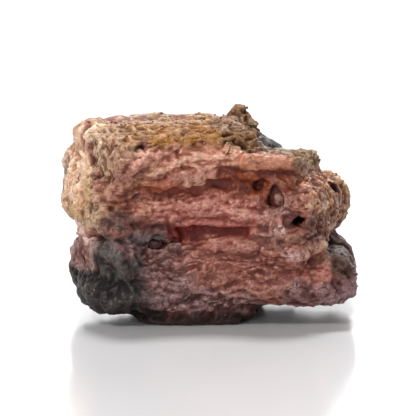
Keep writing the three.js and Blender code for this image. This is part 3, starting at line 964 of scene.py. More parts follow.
def mesh_from(bm: bmesh.types.BMesh, name: str) -> bpy.types.Mesh:
    """Turns a finished bmesh into a mesh.

    Args:
        bm: The bmesh, which is used up.
        name: The mesh's name.

    Returns:
        The mesh.
    """
    mesh = bpy.data.meshes.new(name)
    bm.to_mesh(mesh)
    bm.free()
    return mesh


def link_mesh(name: str, mesh: bpy.types.Mesh) -> bpy.types.Object:
    """Puts a mesh into the scene as an object at the origin.

    Args:
        name: The piece's name.
        mesh: Its mesh, in the frame's metres.

    Returns:
        The new object.
    """
    piece = bpy.data.objects.new(name, mesh)
    bpy.context.scene.collection.objects.link(piece)
    return piece


def dress(piece: bpy.types.Object, material: bpy.types.Material) -> bpy.types.Object:
    """Gives a piece its one material, and lets it ride on the cube's body.

    Args:
        piece: The finished piece.
        material: Its material.

    Returns:
        The same piece.
    """
    piece.data.materials.clear()
    piece.data.materials.append(material)
    for polygon in piece.data.polygons:
        polygon.use_smooth = True
    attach(piece, BODY)
    log.info("%s: %d faces", piece.name, len(piece.data.polygons))
    return piece


class NodeSketch:
    """A material's node tree, with short ways to add nodes and join them."""

    def __init__(self, name: str) -> None:
        """Starts a material with its Principled shader.

        Args:
            name: The material's name.
        """
        self.material = bpy.data.materials.new(name)
        self.material.use_nodes = True
        self.tree = self.material.node_tree
        self.shader = self.tree.nodes["Principled BSDF"]

    def feed(self, target: bpy.types.NodeSocket, value: object) -> None:
        """Sets a socket's own value, or joins another socket to it.

        Args:
            target: The socket to set.
            value: A socket, a number, or three numbers for a colour or a vector.
        """
        if isinstance(value, bpy.types.NodeSocket):
            self.tree.links.new(value, target)
        elif target.type == "RGBA":
            target.default_value = (*value, 1.0)
        else:
            target.default_value = value

    def add(self, kind: str, **settings: object) -> bpy.types.Node:
        """Adds a node, sets its properties and feeds its sockets, by their names with spaces as underscores.

        Args:
            kind: The node's class, without the word ShaderNode.
            settings: Properties and socket values.

        Returns:
            The node.
        """
        node = self.tree.nodes.new("ShaderNode" + kind)
        for key, value in settings.items():
            if hasattr(node, key):
                setattr(node, key, value)
            else:
                self.feed(node.inputs[key.replace("_", " ")], value)
        return node

    def attribute(self, name: str, output: str) -> bpy.types.NodeSocket:
        """One of the mesh's attributes, as a Color or as a Fac."""
        return self.add("Attribute", attribute_type="GEOMETRY", attribute_name=name).outputs[output]

    def coordinates(self, stretch: Colour) -> bpy.types.NodeSocket:
        """Object coordinates, divided by the length of a feature along X, Y and Z."""
        scale = tuple(1.0 / (MM * length) for length in stretch)
        place = self.add("TexCoord").outputs["Object"]
        return self.add("Mapping", Vector=place, Scale=scale).outputs["Vector"]

    def noise(self, stretch: Colour, detail: float, roughness: float = 0.55) -> bpy.types.NodeSocket:
        """Noise from 0 to 1, with features of a length along X, Y and Z."""
        settings = {"Vector": self.coordinates(stretch), "Scale": 1.0, "Detail": detail}
        return self.add("TexNoise", Roughness=roughness, **settings).outputs["Fac"]

    def cells(self, stretch: Colour) -> tuple[bpy.types.NodeSocket, bpy.types.NodeSocket]:
        """A random number for each cell of a length along X, Y and Z, and how far off its middle is."""
        outputs = self.add("TexVoronoi", Vector=self.coordinates(stretch), Scale=1.0).outputs
        return self.add("SeparateColor", Color=outputs["Color"]).outputs["Red"], outputs["Distance"]

    def ramp(self, source: bpy.types.NodeSocket, low: float, high: float) -> bpy.types.NodeSocket:
        """A number from 0 at low to 1 at high, smoothly. It falls where low is the greater of the two."""
        kind = {"interpolation_type": "SMOOTHSTEP"}
        return self.add("MapRange", Value=source, From_Min=low, From_Max=high, **kind).outputs["Result"]

    def spread(self, source: bpy.types.NodeSocket, low: float, high: float) -> bpy.types.NodeSocket:
        """A number from 0 to 1 carried to the range from low to high."""
        return self.add("MapRange", Value=source, To_Min=low, To_Max=high).outputs["Result"]

    def math(self, operation: str, first: object, second: object) -> bpy.types.NodeSocket:
        """Two numbers put together.

        Args:
            operation: The name of the operation.
            first: A socket or a number.
            second: A socket or a number.

        Returns:
            The result's socket.
        """
        node = self.add("Math", operation=operation)
        self.feed(node.inputs[0], first)
        self.feed(node.inputs[1], second)
        return node.outputs[0]

    def times(self, *factors: object) -> bpy.types.NodeSocket:
        """The product of two or more sockets or numbers."""
        return functools.reduce(lambda product, factor: self.math("MULTIPLY", product, factor), factors)

    def mix(self, share: object, first: object, second: object, blend: str = "MIX") -> bpy.types.NodeSocket:
        """Two colours mixed.

        Args:
            share: How much of the second, as a socket or a number.
            first: A socket or a colour.
            second: A socket or a colour.
            blend: The way of mixing.

        Returns:
            The mixed colour's socket.
        """
        node = self.add("Mix", data_type="RGBA", blend_type=blend)
        for place, value in ((0, share), (6, first), (7, second)):
            self.feed(node.inputs[place], value)
        return node.outputs[2]

    def tint(self, share: object, colour: bpy.types.NodeSocket, tint: Colour) -> bpy.types.NodeSocket:
        """A colour multiplied by a tint where a share says so."""
        return self.mix(share, colour, self.mix(1.0, colour, tint, "MULTIPLY"))

    def bump(self, height: bpy.types.NodeSocket, depth: float, strength: float) -> None:
        """Raises fine bumps in the shader's normal, where a height of 1 stands for the depth."""
        node = self.add("Bump", Strength=strength, Distance=depth * MM, Height=height)
        self.feed(self.shader.inputs["Normal"], node.outputs["Normal"])

    def set(self, **sockets: object) -> None:
        """Sets the shader's own sockets, by their names with spaces as underscores."""
        for key, value in sockets.items():
            self.feed(self.shader.inputs[key.replace("_", " ")], value)


@dataclass(frozen=True)
class TissueFinish:
    """The look of dried tissue: mottled and grainy, with painted shade in its hollows and pits, and with
    painted highlights and a glinting coat on its crests.
    """

    mottle: Colour = (1.5, 1.4, 1.1)
    drift: Colour = (4.5, 4.0, 3.0)
    blotch: Colour = (2.6, 2.4, 2.0)
    grains: Colour = (0.62, 0.55, 0.42)
    flecks: Colour = (1.15, 1.05, 0.90)
    pores: Colour = (0.52, 0.48, 0.36)
    fine: Colour = (0.34, 0.34, 0.26)
    pits: Colour = (0.42, 0.38, 0.28)
    texture: Colour = (0.20, 0.20, 0.15)
    shaded: Colour = (0.62, 0.50, 0.45)
    flushed: Colour = (1.0, 0.88, 0.84)
    browned: Colour = (0.74, 0.62, 0.44)
    hollow: Limits = (0.44, 0.14)
    fine_hollow: Limits = (0.42, 0.14)
    high: Limits = (0.54, 0.82)
    fine_high: Limits = (0.56, 0.84)
    in_shade: Limits = (0.62, 0.36)
    in_flush: Limits = (0.42, 0.62)
    in_brown: Limits = (0.50, 0.66)
    in_light: Limits = (0.40, 0.62)
    light_grain: Limits = (0.82, 0.88)
    dark_grain: Limits = (0.18, 0.12)
    light_fleck: Limits = (0.64, 0.72)
    dark_fleck: Limits = (0.34, 0.26)
    fleck_edge: Limits = (0.52, 0.36)
    fleck_tissue: Limits = (0.35, 0.9)
    pit_edge: Limits = (0.40, 0.30)
    pinhole_edge: Limits = (0.30, 0.12)
    pinhole_chance: Limits = (0.78, 0.84)
    roughness: Limits = (0.44, 0.68)
    specular: Limits = (0.06, 0.42)
    glint: Limits = (0.48, 0.66)
    bump_depth: float = 0.12

    def build(self) -> bpy.types.Material:
        """Builds the material.

        Returns:
            The material, which reads the attributes level, deep, crest, cavity, grit, speck and gloss.
        """
        s = NodeSketch("dried_tissue")
        level, deep, crest = (s.attribute(name, "Color") for name in PAINTS)
        cavity, grit, speck, gloss = (s.attribute(name, "Fac") for name in MARKS)
        mottle = s.noise(self.mottle, 5.0)
        drift = s.noise(self.drift, 3.0)
        fine = s.noise(self.fine, 3.0, 0.6)
        chance, _ = s.cells(self.grains)
        pore_chance, pore_gap = s.cells(self.pores)
        # Painted shade and highlight: hollow says how deep a place lies in a hollow and high how high on a
        # crest, at a broad and a fine scale.
        fine_hollow = s.times(s.ramp(grit, *self.fine_hollow), 0.8)
        hollow = s.math("MAXIMUM", s.ramp(cavity, *self.hollow), fine_hollow)
        high = s.math("MAXIMUM", s.ramp(cavity, *self.high), s.ramp(grit, *self.fine_high))
        colour = s.tint(s.ramp(mottle, *self.in_shade), level, self.shaded)
        colour = s.tint(s.ramp(drift, *self.in_flush), colour, self.flushed)
        browning = s.times(s.ramp(s.noise(self.blotch, 4.0), *self.in_brown), speck)
        colour = s.tint(browning, colour, self.browned)
        # Painted highlight: the crest colour laid on the high places.
        light = s.times(high, s.spread(s.ramp(fine, *self.in_light), 0.25, 1.0), 0.85)
        colour = s.mix(light, colour, crest)
        colour = s.mix(s.times(s.ramp(chance, *self.light_grain), speck, 0.6), colour, crest)
        colour = s.mix(s.times(s.ramp(chance, *self.dark_grain), speck, 0.5), colour, deep)
        fleck_chance, fleck_gap = s.cells(self.flecks)
        ragged = s.math("ADD", fleck_gap, s.spread(fine, -0.5, 0.5))
        fleck = s.times(s.ramp(ragged, *self.fleck_edge), s.ramp(speck, *self.fleck_tissue))
        colour = s.mix(s.times(fleck, s.ramp(fleck_chance, *self.light_fleck), 0.8), colour, crest)
        colour = s.mix(s.times(fleck, s.ramp(fleck_chance, *self.dark_fleck), 0.75), colour, deep)
        # Painted shade: the deep colour laid in the hollows.
        colour = s.mix(hollow, colour, deep)
        # Painted shade in the pits and pinholes, which the bump also dents.
        pit = s.times(s.ramp(s.noise(self.pits, 4.0, 0.6), *self.pit_edge), 0.8)
        pinhole = s.times(s.ramp(pore_gap, *self.pinhole_edge), s.ramp(pore_chance, *self.pinhole_chance))
        pinhole = s.math("MAXIMUM", pit, pinhole)
        colour = s.mix(s.times(pinhole, 0.75), colour, deep)
        rough = s.math("SUBTRACT", s.spread(mottle, *self.roughness), s.times(high, 0.14))
        s.set(Base_Color=colour, Roughness=rough, Specular_IOR_Level=s.spread(gloss, *self.specular))
        s.set(Subsurface_Weight=0.10, Subsurface_Scale=0.0010, Subsurface_Radius=(1.0, 0.35, 0.2))
        s.set(Coat_Weight=s.times(high, s.ramp(fine, *self.glint), gloss, 0.65), Coat_Roughness=0.18)
        texture = s.noise(self.texture, 4.0, 0.62)
        s.bump(s.math("SUBTRACT", texture, s.times(pinhole, 0.8)), self.bump_depth, 0.8)
        return s.material


@dataclass
class LungBody:
    """The cube itself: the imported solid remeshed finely, crumpled and coloured."""

    seam: float = 0.002
    voxel: float = 0.23
    first_smoothing: float = 0.35
    later_smoothing: float = 0.5
    smoothing_rounds: int = 6
    cavity_rounds: int = 40
    cavity_range: float = 0.85
    grit_rounds: int = 5
    grit_range: float = 0.22
    foot: Limits = (0.02, 0.7)
    bore_edge: Limits = (1.0, 1.3)
    speck: dict[Tissue, float] = field(
        default_factory=lambda: {FLESH: 0.5, SKIN: 0.45, PITTED: 0.7, GRAIN: 1.0, CHAR: 0.25}
    )
    gloss: dict[Tissue, float] = field(
        default_factory=lambda: {FLESH: 0.9, SKIN: 0.2, PITTED: 0.5, GRAIN: 0.7, CHAR: 0.45}
    )
    zones: Zones = field(default_factory=Zones)
    relief: FineRelief = field(default_factory=FineRelief)
    airways: Airways = field(default_factory=Airways)

    def merged_copy(self) -> bpy.types.Mesh:
        """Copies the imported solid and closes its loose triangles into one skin.

        Returns:
            The copy's mesh.
        """
        bm = opened(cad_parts[NODE].data)
        bmesh.ops.remove_doubles(bm, verts=bm.verts, dist=self.seam * MM)
        even_out(bm, self.first_smoothing)
        return mesh_from(bm, "lung_skin")

    def remeshed(self) -> bpy.types.Mesh:
        """Remeshes the copy with even, small faces, and rounds off the solid's facets.

        Returns:
            The fine mesh.
        """
        rough = link_mesh("lung_skin", self.merged_copy())
        remesh = rough.modifiers.new("even_faces", "REMESH")
        remesh.mode = "VOXEL"
        remesh.voxel_size = self.voxel * MM
        graph = bpy.context.evaluated_depsgraph_get()
        mesh = bpy.data.meshes.new_from_object(rough.evaluated_get(graph))
        bpy.data.objects.remove(rough)
        bm = opened(mesh)
        for _ in range(self.smoothing_rounds):
            even_out(bm, self.later_smoothing)
        bm.to_mesh(mesh)
        bm.free()
        return mesh

    def crumple(self, mesh: bpy.types.Mesh) -> None:
        """Moves every vertex onto the crumpled surface, and keeps the tissue's colours with it.

        Args:
            mesh: The fine mesh, which is changed.
        """
        mouths = self.airways.mouths(search_tree(mesh))
        paints: dict[str, list[float]] = {name: [] for name in PAINTS}
        marks: dict[str, list[float]] = {"speck": [], "gloss": []}
        places = []
        for vertex in mesh.vertices:
            point = vertex.co / MM
            bore = 1.0 - smooth_ramp(min(mouth.spread(point) for mouth in mouths), *self.bore_edge)
            rim = max(mouth.rim(point) for mouth in mouths)
            colours, shares = self.zones.read(point, vertex.normal, bore, rim)
            colours = self.relief.face.paint(colours, point, vertex.normal)
            height = self.relief.height(point, vertex.normal, shares, bore)
            height *= smooth_ramp(point.z, *self.foot)
            place = self.relief.tip.draw_in(point) + vertex.normal * height
            place += sum((mouth.slump(point) for mouth in mouths), Vector())
            place.z = max(place.z, 0.0)
            places.extend(place * MM)
            for values, colour in zip(paints.values(), colours):
                values.extend((*colour, 1.0))
            for values, strengths in zip(marks.values(), (self.speck, self.gloss)):
                values.append(sum(share * strengths[kind] for kind, share in shares.items()))
        mesh.vertices.foreach_set("co", places)
        for name, values in paints.items():
            mesh.attributes.new(name, "FLOAT_COLOR", "POINT").data.foreach_set("color", values)
        for name, values in marks.items():
            store(mesh, name, values)
        mesh.update()

    def mark_hollows(self, mesh: bpy.types.Mesh, name: str, rounds: int, full: float) -> None:
        """Stores how far each vertex stands over the surface round it, from 0 in a hollow to 1 on a crest.

        Args:
            mesh: The crumpled mesh, which gets the attribute.
            name: The attribute's name.
            rounds: How often the surface is evened out to stand for what lies round a vertex.
            full: Height from the deepest hollow to the highest crest that is told apart, in millimetres.
        """
        count = len(mesh.vertices)
        ends = np.empty(len(mesh.edges) * 2, np.int64)
        mesh.edges.foreach_get("vertices", ends)
        ends = ends.reshape(-1, 2)
        here = np.concatenate((ends[:, 0], ends[:, 1]))
        there = np.concatenate((ends[:, 1], ends[:, 0]))
        places = vectors(mesh, "co") / MM
        neighbours = np.maximum(np.bincount(here, minlength=count), 1)[:, None]
        flat = places.copy()
        for _ in range(rounds):
            sums = [np.bincount(here, weights=flat[there, axis], minlength=count) for axis in range(3)]
            flat = np.stack(sums, axis=1) / neighbours
        stand = np.einsum("ij,ij->i", places - flat, vectors(mesh, "normal"))
        store(mesh, name, np.clip(0.5 + stand / full, 0.0, 1.0).astype(np.float32))

    def build(self, material: bpy.types.Material) -> bpy.types.Object:
        """Builds the cube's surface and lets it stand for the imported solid.

        Args:
            material: The tissue's material.

        Returns:
            The finished piece.
        """
        mesh = self.remeshed()
        self.crumple(mesh)
        self.mark_hollows(mesh, "cavity", self.cavity_rounds, self.cavity_range)
        self.mark_hollows(mesh, "grit", self.grit_rounds, self.grit_range)
        piece = dress(link_mesh("lung_surface", mesh), material)
        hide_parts(NODE)
        return piece


class Skin:
    """The finished surface, ready to be asked where it lies and how it is coloured."""

    def __init__(self, piece: bpy.types.Object) -> None:
        """Reads the surface of a finished piece.

        Args:
            piece: The cube's own surface.
        """
        self.mesh = piece.data
        self.tree = search_tree(self.mesh)
        self.crests = np.empty(len(self.mesh.vertices))
        self.mesh.attributes["cavity"].data.foreach_get("value", self.crests)

    def sites(
        self, rng: random.Random, count: int, apart: float, wanted: Callable[[Vector, Vector, float], bool]
    ) -> list[int]:
        """Draws vertices that lie where something should stand, no two too near.

        Args:
            rng: The seeded source of the draw.
            count: How many are wanted.
            apart: The least distance between two, in millimetres.
            wanted: Says from place, way out and crest height whether a vertex will do.

        Returns:
            The vertices' indices.
        """
        chosen: list[int] = []
        places: list[Vector] = []
        for _ in range(60 * count):
            index = rng.randrange(len(self.mesh.vertices))
            vertex = self.mesh.vertices[index]
            place = vertex.co / MM
            if not wanted(place, vertex.normal, self.crests[index]):
                continue
            if any((place - other).length < apart for other in places):
                continue
            chosen.append(index)
            places.append(place)
            if len(chosen) == count:
                break
        return chosen

    def start_scrap(self) -> bmesh.types.BMesh:
        """Starts a mesh that can take the surface's colours.

        Returns:
            The empty bmesh, with a layer for each colour and each mark.
        """
        bm = bmesh.new()
        for name in PAINTS:
            bm.verts.layers.float_color.new(name)
        for name in MARKS:
            bm.verts.layers.float.new(name)
        return bm

    def shades(self, index: int) -> Shades:
        """The colours of one of the surface's vertices."""
        return Shades(*(tuple(self.mesh.attributes[name].data[index].color[:3]) for name in PAINTS))

    def paint(self, bm: bmesh.types.BMesh, first: int, shades: Shades, crest: float) -> None:
        """Gives the newest vertices their colours.

        Args:
            bm: The mesh that the vertices belong to.
            first: Index of the first vertex to colour.
            shades: The colours.
            crest: How far they count as standing on a crest, from 0 to 1, which sets their painted shade and
                highlight.
        """
        bm.verts.ensure_lookup_table()
        for name in PAINTS:
            layer = bm.verts.layers.float_color[name]
            colour = (*getattr(shades, name), 1.0)
            for vertex in bm.verts[first:]:
                vertex[layer] = colour
        for name, value in zip(MARKS, (crest, crest, 0.6, 0.5)):
            layer = bm.verts.layers.float[name]
            for vertex in bm.verts[first:]:
                vertex[layer] = value


def finish_bmesh(bm: bmesh.types.BMesh, name: str, material: bpy.types.Material) -> bpy.types.Object:
    """Turns a mesh in millimetres into a dressed piece in metres, with its faces pointing out.

    Args:
        bm: The finished mesh, which is used up.
        name: The piece's name.
        material: Its material.

    Returns:
        The piece.
    """
    bmesh.ops.recalc_face_normals(bm, faces=bm.faces)
    bmesh.ops.scale(bm, vec=(MM, MM, MM), verts=bm.verts)
    for vertex in bm.verts:
        vertex.co.z = max(vertex.co.z, 0.0)
    return dress(link_mesh(name, mesh_from(bm, name)), material)


@dataclass(frozen=True)
class Scraps(ABC):
    """Small bits of tissue that stand off the cube's surface, built as one piece."""

    name: str
    seed: int
    count: int
    apart: float
    crests: Limits
    least_light: float

    @abstractmethod
    def wanted(self, place: Vector, normal: Vector, crest: float) -> bool:
        """Whether a scrap may stand at a place.

        Args:
            place: The place on the skin, in millimetres.
            normal: The skin's way out there.
            crest: How far the place stands on a crest, from 0 in a hollow to 1.

        Returns:
            True where a scrap may stand.
        """

    @abstractmethod
    def add(self, bm: bmesh.types.BMesh, place: Vector, normal: Vector, rng: random.Random) -> None:
        """Adds one scrap.

        Args:
            bm: The mesh to add to, in millimetres.
            place: Where it stands, in millimetres.
            normal: The skin's way out there.
            rng: The seeded source of its size and turn.
        """

    def build(self, skin: Skin, material: bpy.types.Material) -> bpy.types.Object:
        """Builds all the scraps, each in the colours of the skin under it.

        Args:
            skin: The cube's surface.
            material: The tissue's material.

        Returns:
            The finished piece.
        """
        rng = random.Random(self.seed)
        bm = skin.start_scrap()
        for index in skin.sites(rng, self.count, self.apart, self.wanted):
            first = len(bm.verts)
            vertex = skin.mesh.vertices[index]
            shades = skin.shades(index)
            if max(shades.level) < self.least_light:
                continue
            self.add(bm, vertex.co / MM, vertex.normal.copy(), rng)
            skin.paint(bm, first, shades, rng.uniform(*self.crests))
        return finish_bmesh(bm, self.name, material)


@dataclass(frozen=True)
class TornSkin(Scraps):
    """Small curls of dried membrane that stand off the cube's edges and crests."""

    name: str = "torn_skin"
    seed: int = 11
    count: int = 46
    apart: float = 1.7
    crests: Limits = (0.55, 0.9)
    least_light: float = 0.08
    lengths: Limits = (0.4, 0.9)
    widths: Limits = (1.2, 2.8)
    bends: Limits = (0.25, 1.1)
    thickness: float = 0.12
    root: float = 0.4
    wobble: float = 0.14

    def wanted(self, place: Vector, normal: Vector, crest: float) -> bool:
        """Whether a curl may stand at a place: on crests near the top, the left side and the ledge's rim."""
        near_edge = 20.5 < place.z < 22.8 or place.x < -14.5 or 12.0 < place.x < 15.5 or place.y > 9.0
        return crest > 0.72 and near_edge and 3.0 < place.z < 23.2 and -0.3 < normal.z < 0.85

    def add(self, bm: bmesh.types.BMesh, place: Vector, normal: Vector, rng: random.Random) -> None:
        """Adds one curl: a ragged tongue that bends away from the skin.

        Args:
            bm: The mesh to add to, in millimetres.
            place: Where its root is, in millimetres.
            normal: The skin's way out there.
            rng: The seeded source of its size and turn.
        """
        length = rng.uniform(*self.lengths)
        width = rng.uniform(*self.widths)
        bend = rng.uniform(*self.bends)
        spin = rng.uniform(0.0, 2.0 * math.pi)
        seed = Vector((rng.uniform(0.0, 50.0), rng.uniform(0.0, 50.0), 0.0))
        across = normal.orthogonal().normalized()
        across.rotate(Matrix.Rotation(spin, 3, normal))
        along = normal.cross(across)
        made = bmesh.ops.create_grid(bm, x_segments=6, y_segments=6, size=0.5)
        for vertex in made["verts"]:
            side = vertex.co.x
            share = vertex.co.y + 0.5
            ragged = 1.0 + 0.5 * noise.noise(Vector((side * 4.0, 0.0, 0.0)) + seed)
            run = share * length * ragged
            angle = bend * share * ragged
            forward = run * math.cos(0.5 * angle)
            lift = run * math.sin(0.5 * angle) - self.root * (1.0 - share) ** 2
            spread = side * width * (1.0 - 0.3 * share**1.6)
            cupped = -0.4 * width * side * side * (0.4 + share)
            wobble = self.wobble * noise.noise_vector(vertex.co * 3.0 + seed)
            vertex.co = place + along * forward + normal * (lift + cupped) + across * spread + wobble
        faces = list({face for vertex in made["verts"] for face in vertex.link_faces})
        bmesh.ops.solidify(bm, geom=faces, thickness=self.thickness)


@dataclass(frozen=True)
class Crumbs(Scraps):
    """Crumbs of tissue that cling to the granular side, the foot and the top."""

    name: str = "tissue_crumbs"
    seed: int = 23
    count: int = 260
    apart: float = 0.6
    crests: Limits = (0.5, 0.9)
    least_light: float = 0.0
    sizes: Limits = (0.12, 0.30)
    stretches: tuple[Limits, ...] = ((0.7, 1.3), (0.7, 1.3), (0.6, 1.1))
    unevenness: Limits = (0.75, 1.15)
    stand: float = 0.35

    def wanted(self, place: Vector, normal: Vector, crest: float) -> bool:
        """Whether a crumb may cling at a place.

        Args:
            place: The place on the skin, in millimetres.
            normal: The skin's way out there.
            crest: How far the place stands on a crest, from 0 in a hollow to 1.

        Returns:
            True on the granular side, the foot and the top, away from hollows.
        """
        right = place.x > 11.0 and place.z > 8.5
        low = place.z < 7.5 and place.y < -6.0 and place.x > -7.0
        top = place.z > 22.0
        return crest > 0.42 and place.z > 1.2 and normal.z > -0.5 and (right or low or top)

    def add(self, bm: bmesh.types.BMesh, place: Vector, normal: Vector, rng: random.Random) -> None:
        """Adds one crumb.

        Args:
            bm: The mesh to add to, in millimetres.
            place: Where it clings, in millimetres.
            normal: The skin's way out there.
            rng: The seeded source of its size and shape.
        """
        size = rng.uniform(*self.sizes)
        stretch = Vector(rng.uniform(*limits) for limits in self.stretches)
        made = bmesh.ops.create_icosphere(bm, subdivisions=1, radius=size)
        angle = rng.uniform(0.0, math.pi)
        turn = Matrix.Rotation(angle, 3, Vector((rng.random(), rng.random(), 1.0)).normalized())
        for corner in made["verts"]:
            corner.co = turn @ Vector(c * k for c, k in zip(corner.co, stretch))
            corner.co *= rng.uniform(*self.unevenness)
            corner.co += place + normal * self.stand * size


@dataclass(frozen=True)
class Lobe:
    """A lump of tissue inside an opened airway, with its place and sizes as shares of the radius."""

    airway: str
    aside: float
    up: float
    sizes: Place
    sink: float
    shades: Shades


@dataclass
class Plugs:
    """The lobes of tissue that dried inside the opened airways, so that only arcs of the holes stay dark."""

    # The wall lobes and the dusk lobe are dark maroon and purple-black, as painted shade deep in the holes.
    wall: Shades = Shades((0.090, 0.024, 0.018), (0.030, 0.006, 0.004), (0.19, 0.075, 0.06))
    mauve: Shades = Shades((0.23, 0.105, 0.085), (0.09, 0.028, 0.022), (0.44, 0.27, 0.23))
    dusk: Shades = Shades((0.060, 0.024, 0.026), (0.018, 0.006, 0.006), (0.17, 0.10, 0.09))
    grey: Shades = Shades((0.16, 0.090, 0.070), (0.05, 0.024, 0.020), (0.30, 0.22, 0.19))
    lobes: list[Lobe] = field(init=False)

    def __post_init__(self) -> None:
        """Lists the lobes."""
        self.lobes = [
            Lobe("cut airway", 0.0, 0.0, (1.2, 0.7, 1.2), 0.55, self.wall),
            Lobe("cut airway", 0.3, -0.2, (0.66, 0.9, 0.6), 0.1, self.mauve),
            Lobe("dark recess", -0.5, -0.2, (0.95, 0.7, 0.8), 0.35, self.dusk),
            Lobe("dark recess", 0.9, 0.35, (0.7, 0.8, 0.7), 0.1, self.grey),
            Lobe("back airway", 0.0, 0.0, (1.15, 0.7, 1.15), 1.1, self.wall),
            Lobe("right side airway", 0.0, -0.2, (1.1, 0.8, 1.1), 0.8, self.wall),
        ]

    def plug(self, bm: bmesh.types.BMesh, mouth: Mouth, lobe: Lobe) -> None:
        """Adds one lobe to a mouth.

        Args:
            bm: The mesh to add to, in millimetres.
            mouth: The mouth that it fills.
            lobe: Its place, size and colours.
        """
        airway = mouth.airway
        across, out, tall = (airway.radius * size for size in lobe.sizes)
        aside = airway.radius * (mouth.across * lobe.aside + UP * lobe.up)
        middle = mouth.centre - (lobe.sink + out) * mouth.outwards + aside
        made = bmesh.ops.create_icosphere(bm, subdivisions=4, radius=1.0)
        for corner in made["verts"]:
            shape = corner.co * (1.0 + 0.22 * noise.noise(corner.co * 1.4 + middle))
            shape *= 1.0 + 0.12 * noise.noise(corner.co * 3.5 + middle)
            corner.co = middle + mouth.across * across * shape.x + mouth.outwards * out * shape.y
            corner.co += UP * tall * airway.tall * shape.z

    def build(self, skin: Skin, airways: Airways, material: bpy.types.Material) -> bpy.types.Object:
        """Builds the lobes as one piece.

        Args:
            skin: The cube's surface.
            airways: The cube's airways.
            material: The tissue's material.

        Returns:
            The finished piece.
        """
        bm = skin.start_scrap()
        for mouth in airways.mouths(skin.tree):
            for lobe in self.lobes:
                if lobe.airway == mouth.airway.name:
                    first = len(bm.verts)
                    self.plug(bm, mouth, lobe)
                    skin.paint(bm, first, lobe.shades, 0.5)
        return finish_bmesh(bm, "airway_lobes", material)


@dataclass(frozen=True)
class FloorFinish:
    """A smooth white studio surface with a faint gloss."""

    colour: Colour = (0.60, 0.595, 0.605)
    haze: Colour = (60.0, 60.0, 60.0)

    def build(self) -> bpy.types.Material:
        """Builds the material.

        Returns:
            The floor's material.
        """
        s = NodeSketch("white_floor")
        haze = s.noise(self.haze, 2.0)
        s.set(Base_Color=s.mix(haze, self.colour, tuple(0.985 * c for c in self.colour)))
        s.set(Roughness=s.spread(haze, 0.12, 0.16), Specular_IOR_Level=0.5)
        return s.material


@dataclass(frozen=True)
class Softbox:
    """One soft studio light."""

    name: str
    place: Place
    size: float
    power: float
    colour: Colour = (1.0, 1.0, 1.0)

    def build(self, target: Vector) -> None:
        """Hangs the light and turns it to the target.

        Args:
            target: The point that it shines at.
        """
        light = bpy.data.lights.new(self.name, "AREA")
        light.shape = "SQUARE"
        light.size = self.size
        light.energy = self.power
        light.color = self.colour
        lamp = bpy.data.objects.new(self.name, light)
        lamp.location = self.place
        lamp.rotation_euler = (target - Vector(self.place)).to_track_quat("-Z", "Y").to_euler()
        bpy.context.scene.collection.objects.link(lamp)


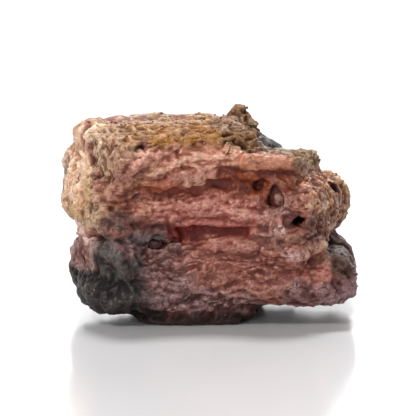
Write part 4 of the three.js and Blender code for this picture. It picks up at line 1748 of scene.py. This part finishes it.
@dataclass
class Studio:
    """The white floor, the soft light and the camera at the photo's angle."""

    elevation: float = 12.0
    distance: float = 0.75
    share_of_frame: float = 0.72
    sensor: float = 36.0
    floor_size: float = 3.0
    screen_height: float = 0.35
    screen_back: float = 0.48
    sky: float = 0.33
    screen_glow: float = 1.15

    def sheet(self, name: str, material: bpy.types.Material, placed: Matrix) -> bpy.types.Object:
        """Makes a flat square of the floor's size.

        Args:
            name: The sheet's name.
            material: Its material.
            placed: Turns, stretches and moves the square from the floor to its place.

        Returns:
            The sheet.
        """
        bm = bmesh.new()
        bmesh.ops.create_grid(bm, x_segments=2, y_segments=2, size=self.floor_size / 2)
        bm.transform(placed)
        mesh = mesh_from(bm, name)
        mesh.materials.append(material)
        return link_mesh(name, mesh)

    def build_floor(self) -> None:
        """Lays the floor, and stands a glowing white screen far behind the cube for the floor to mirror."""
        self.sheet("floor", FloorFinish().build(), Matrix())
        s = NodeSketch("white_screen")
        s.set(Base_Color=(0.8, 0.8, 0.8), Emission_Color=(1.0, 1.0, 1.0), Emission_Strength=self.screen_glow)
        upright = Matrix.Rotation(math.pi / 2, 4, "X")
        lowered = Matrix.Diagonal((1.0, 1.0, self.screen_height, 1.0))
        centre = Vector((0.0, self.screen_back, self.screen_height / 2)) * self.floor_size
        self.sheet("screen", s.material, Matrix.Translation(centre) @ lowered @ upright)

    def build_lights(self, target: Vector) -> None:
        """Sets the white surroundings and the softboxes.

        Args:
            target: The point that the lights shine at.
        """
        world = bpy.data.worlds.new("studio")
        bpy.context.scene.world = world
        world.use_nodes = True
        surroundings = world.node_tree.nodes["Background"].inputs
        surroundings["Color"].default_value = (1.0, 1.0, 1.0, 1.0)
        surroundings["Strength"].default_value = self.sky
        for softbox in (
            Softbox("key", (-0.28, -0.44, 0.56), 0.14, 2.6, (1.0, 0.985, 0.96)),
            Softbox("fill", (-0.30, -0.62, 0.12), 0.26, 1.9),
            Softbox("top", (0.02, 0.16, 0.70), 0.15, 4.5),
            Softbox("back", (0.10, 0.75, 0.45), 0.50, 3.0),
        ):
            softbox.build(target)

    def build_camera(self, low: Vector, high: Vector) -> None:
        """Sets up the camera, with the cube across its share of the frame.

        Args:
            low: The cube's lowest corner.
            high: The cube's highest corner.
        """
        tilt = math.radians(self.elevation)
        target = (low + high) / 2
        back = Vector((0.0, -math.cos(tilt), math.sin(tilt)))
        camera_data = bpy.data.cameras.new("camera")
        camera_data.sensor_width = self.sensor
        camera_data.lens = self.sensor * self.distance * self.share_of_frame / (high.x - low.x)
        camera_data.clip_end = 10.0
        camera = bpy.data.objects.new("camera", camera_data)
        camera.location = target + back * self.distance
        camera.rotation_euler = (-back).to_track_quat("-Z", "Y").to_euler()
        bpy.context.scene.collection.objects.link(camera)
        bpy.context.scene.camera = camera

    def build(self, low: Vector, high: Vector) -> None:
        """Builds the whole studio round the cube.

        Args:
            low: The cube's lowest corner.
            high: The cube's highest corner.
        """
        self.build_floor()
        self.build_lights((low + high) / 2)
        self.build_camera(low, high)
        bpy.context.scene.view_settings.view_transform = "Standard"
        log.info("studio: floor, screen, lights and camera")


def main() -> None:
    """Builds the studio and the cube, piece by piece."""
    logging.basicConfig(level=logging.INFO, format="%(message)s")
    noise.seed_set(NOISE_SEED)
    low, high = cad_box
    Studio().build(low, high)
    tissue = TissueFinish().build()
    body = LungBody()
    skin = Skin(body.build(tissue))
    Plugs().build(skin, body.airways, tissue)
    TornSkin().build(skin, tissue)
    Crumbs().build(skin, tissue)


if __name__ == "__main__":
    main()
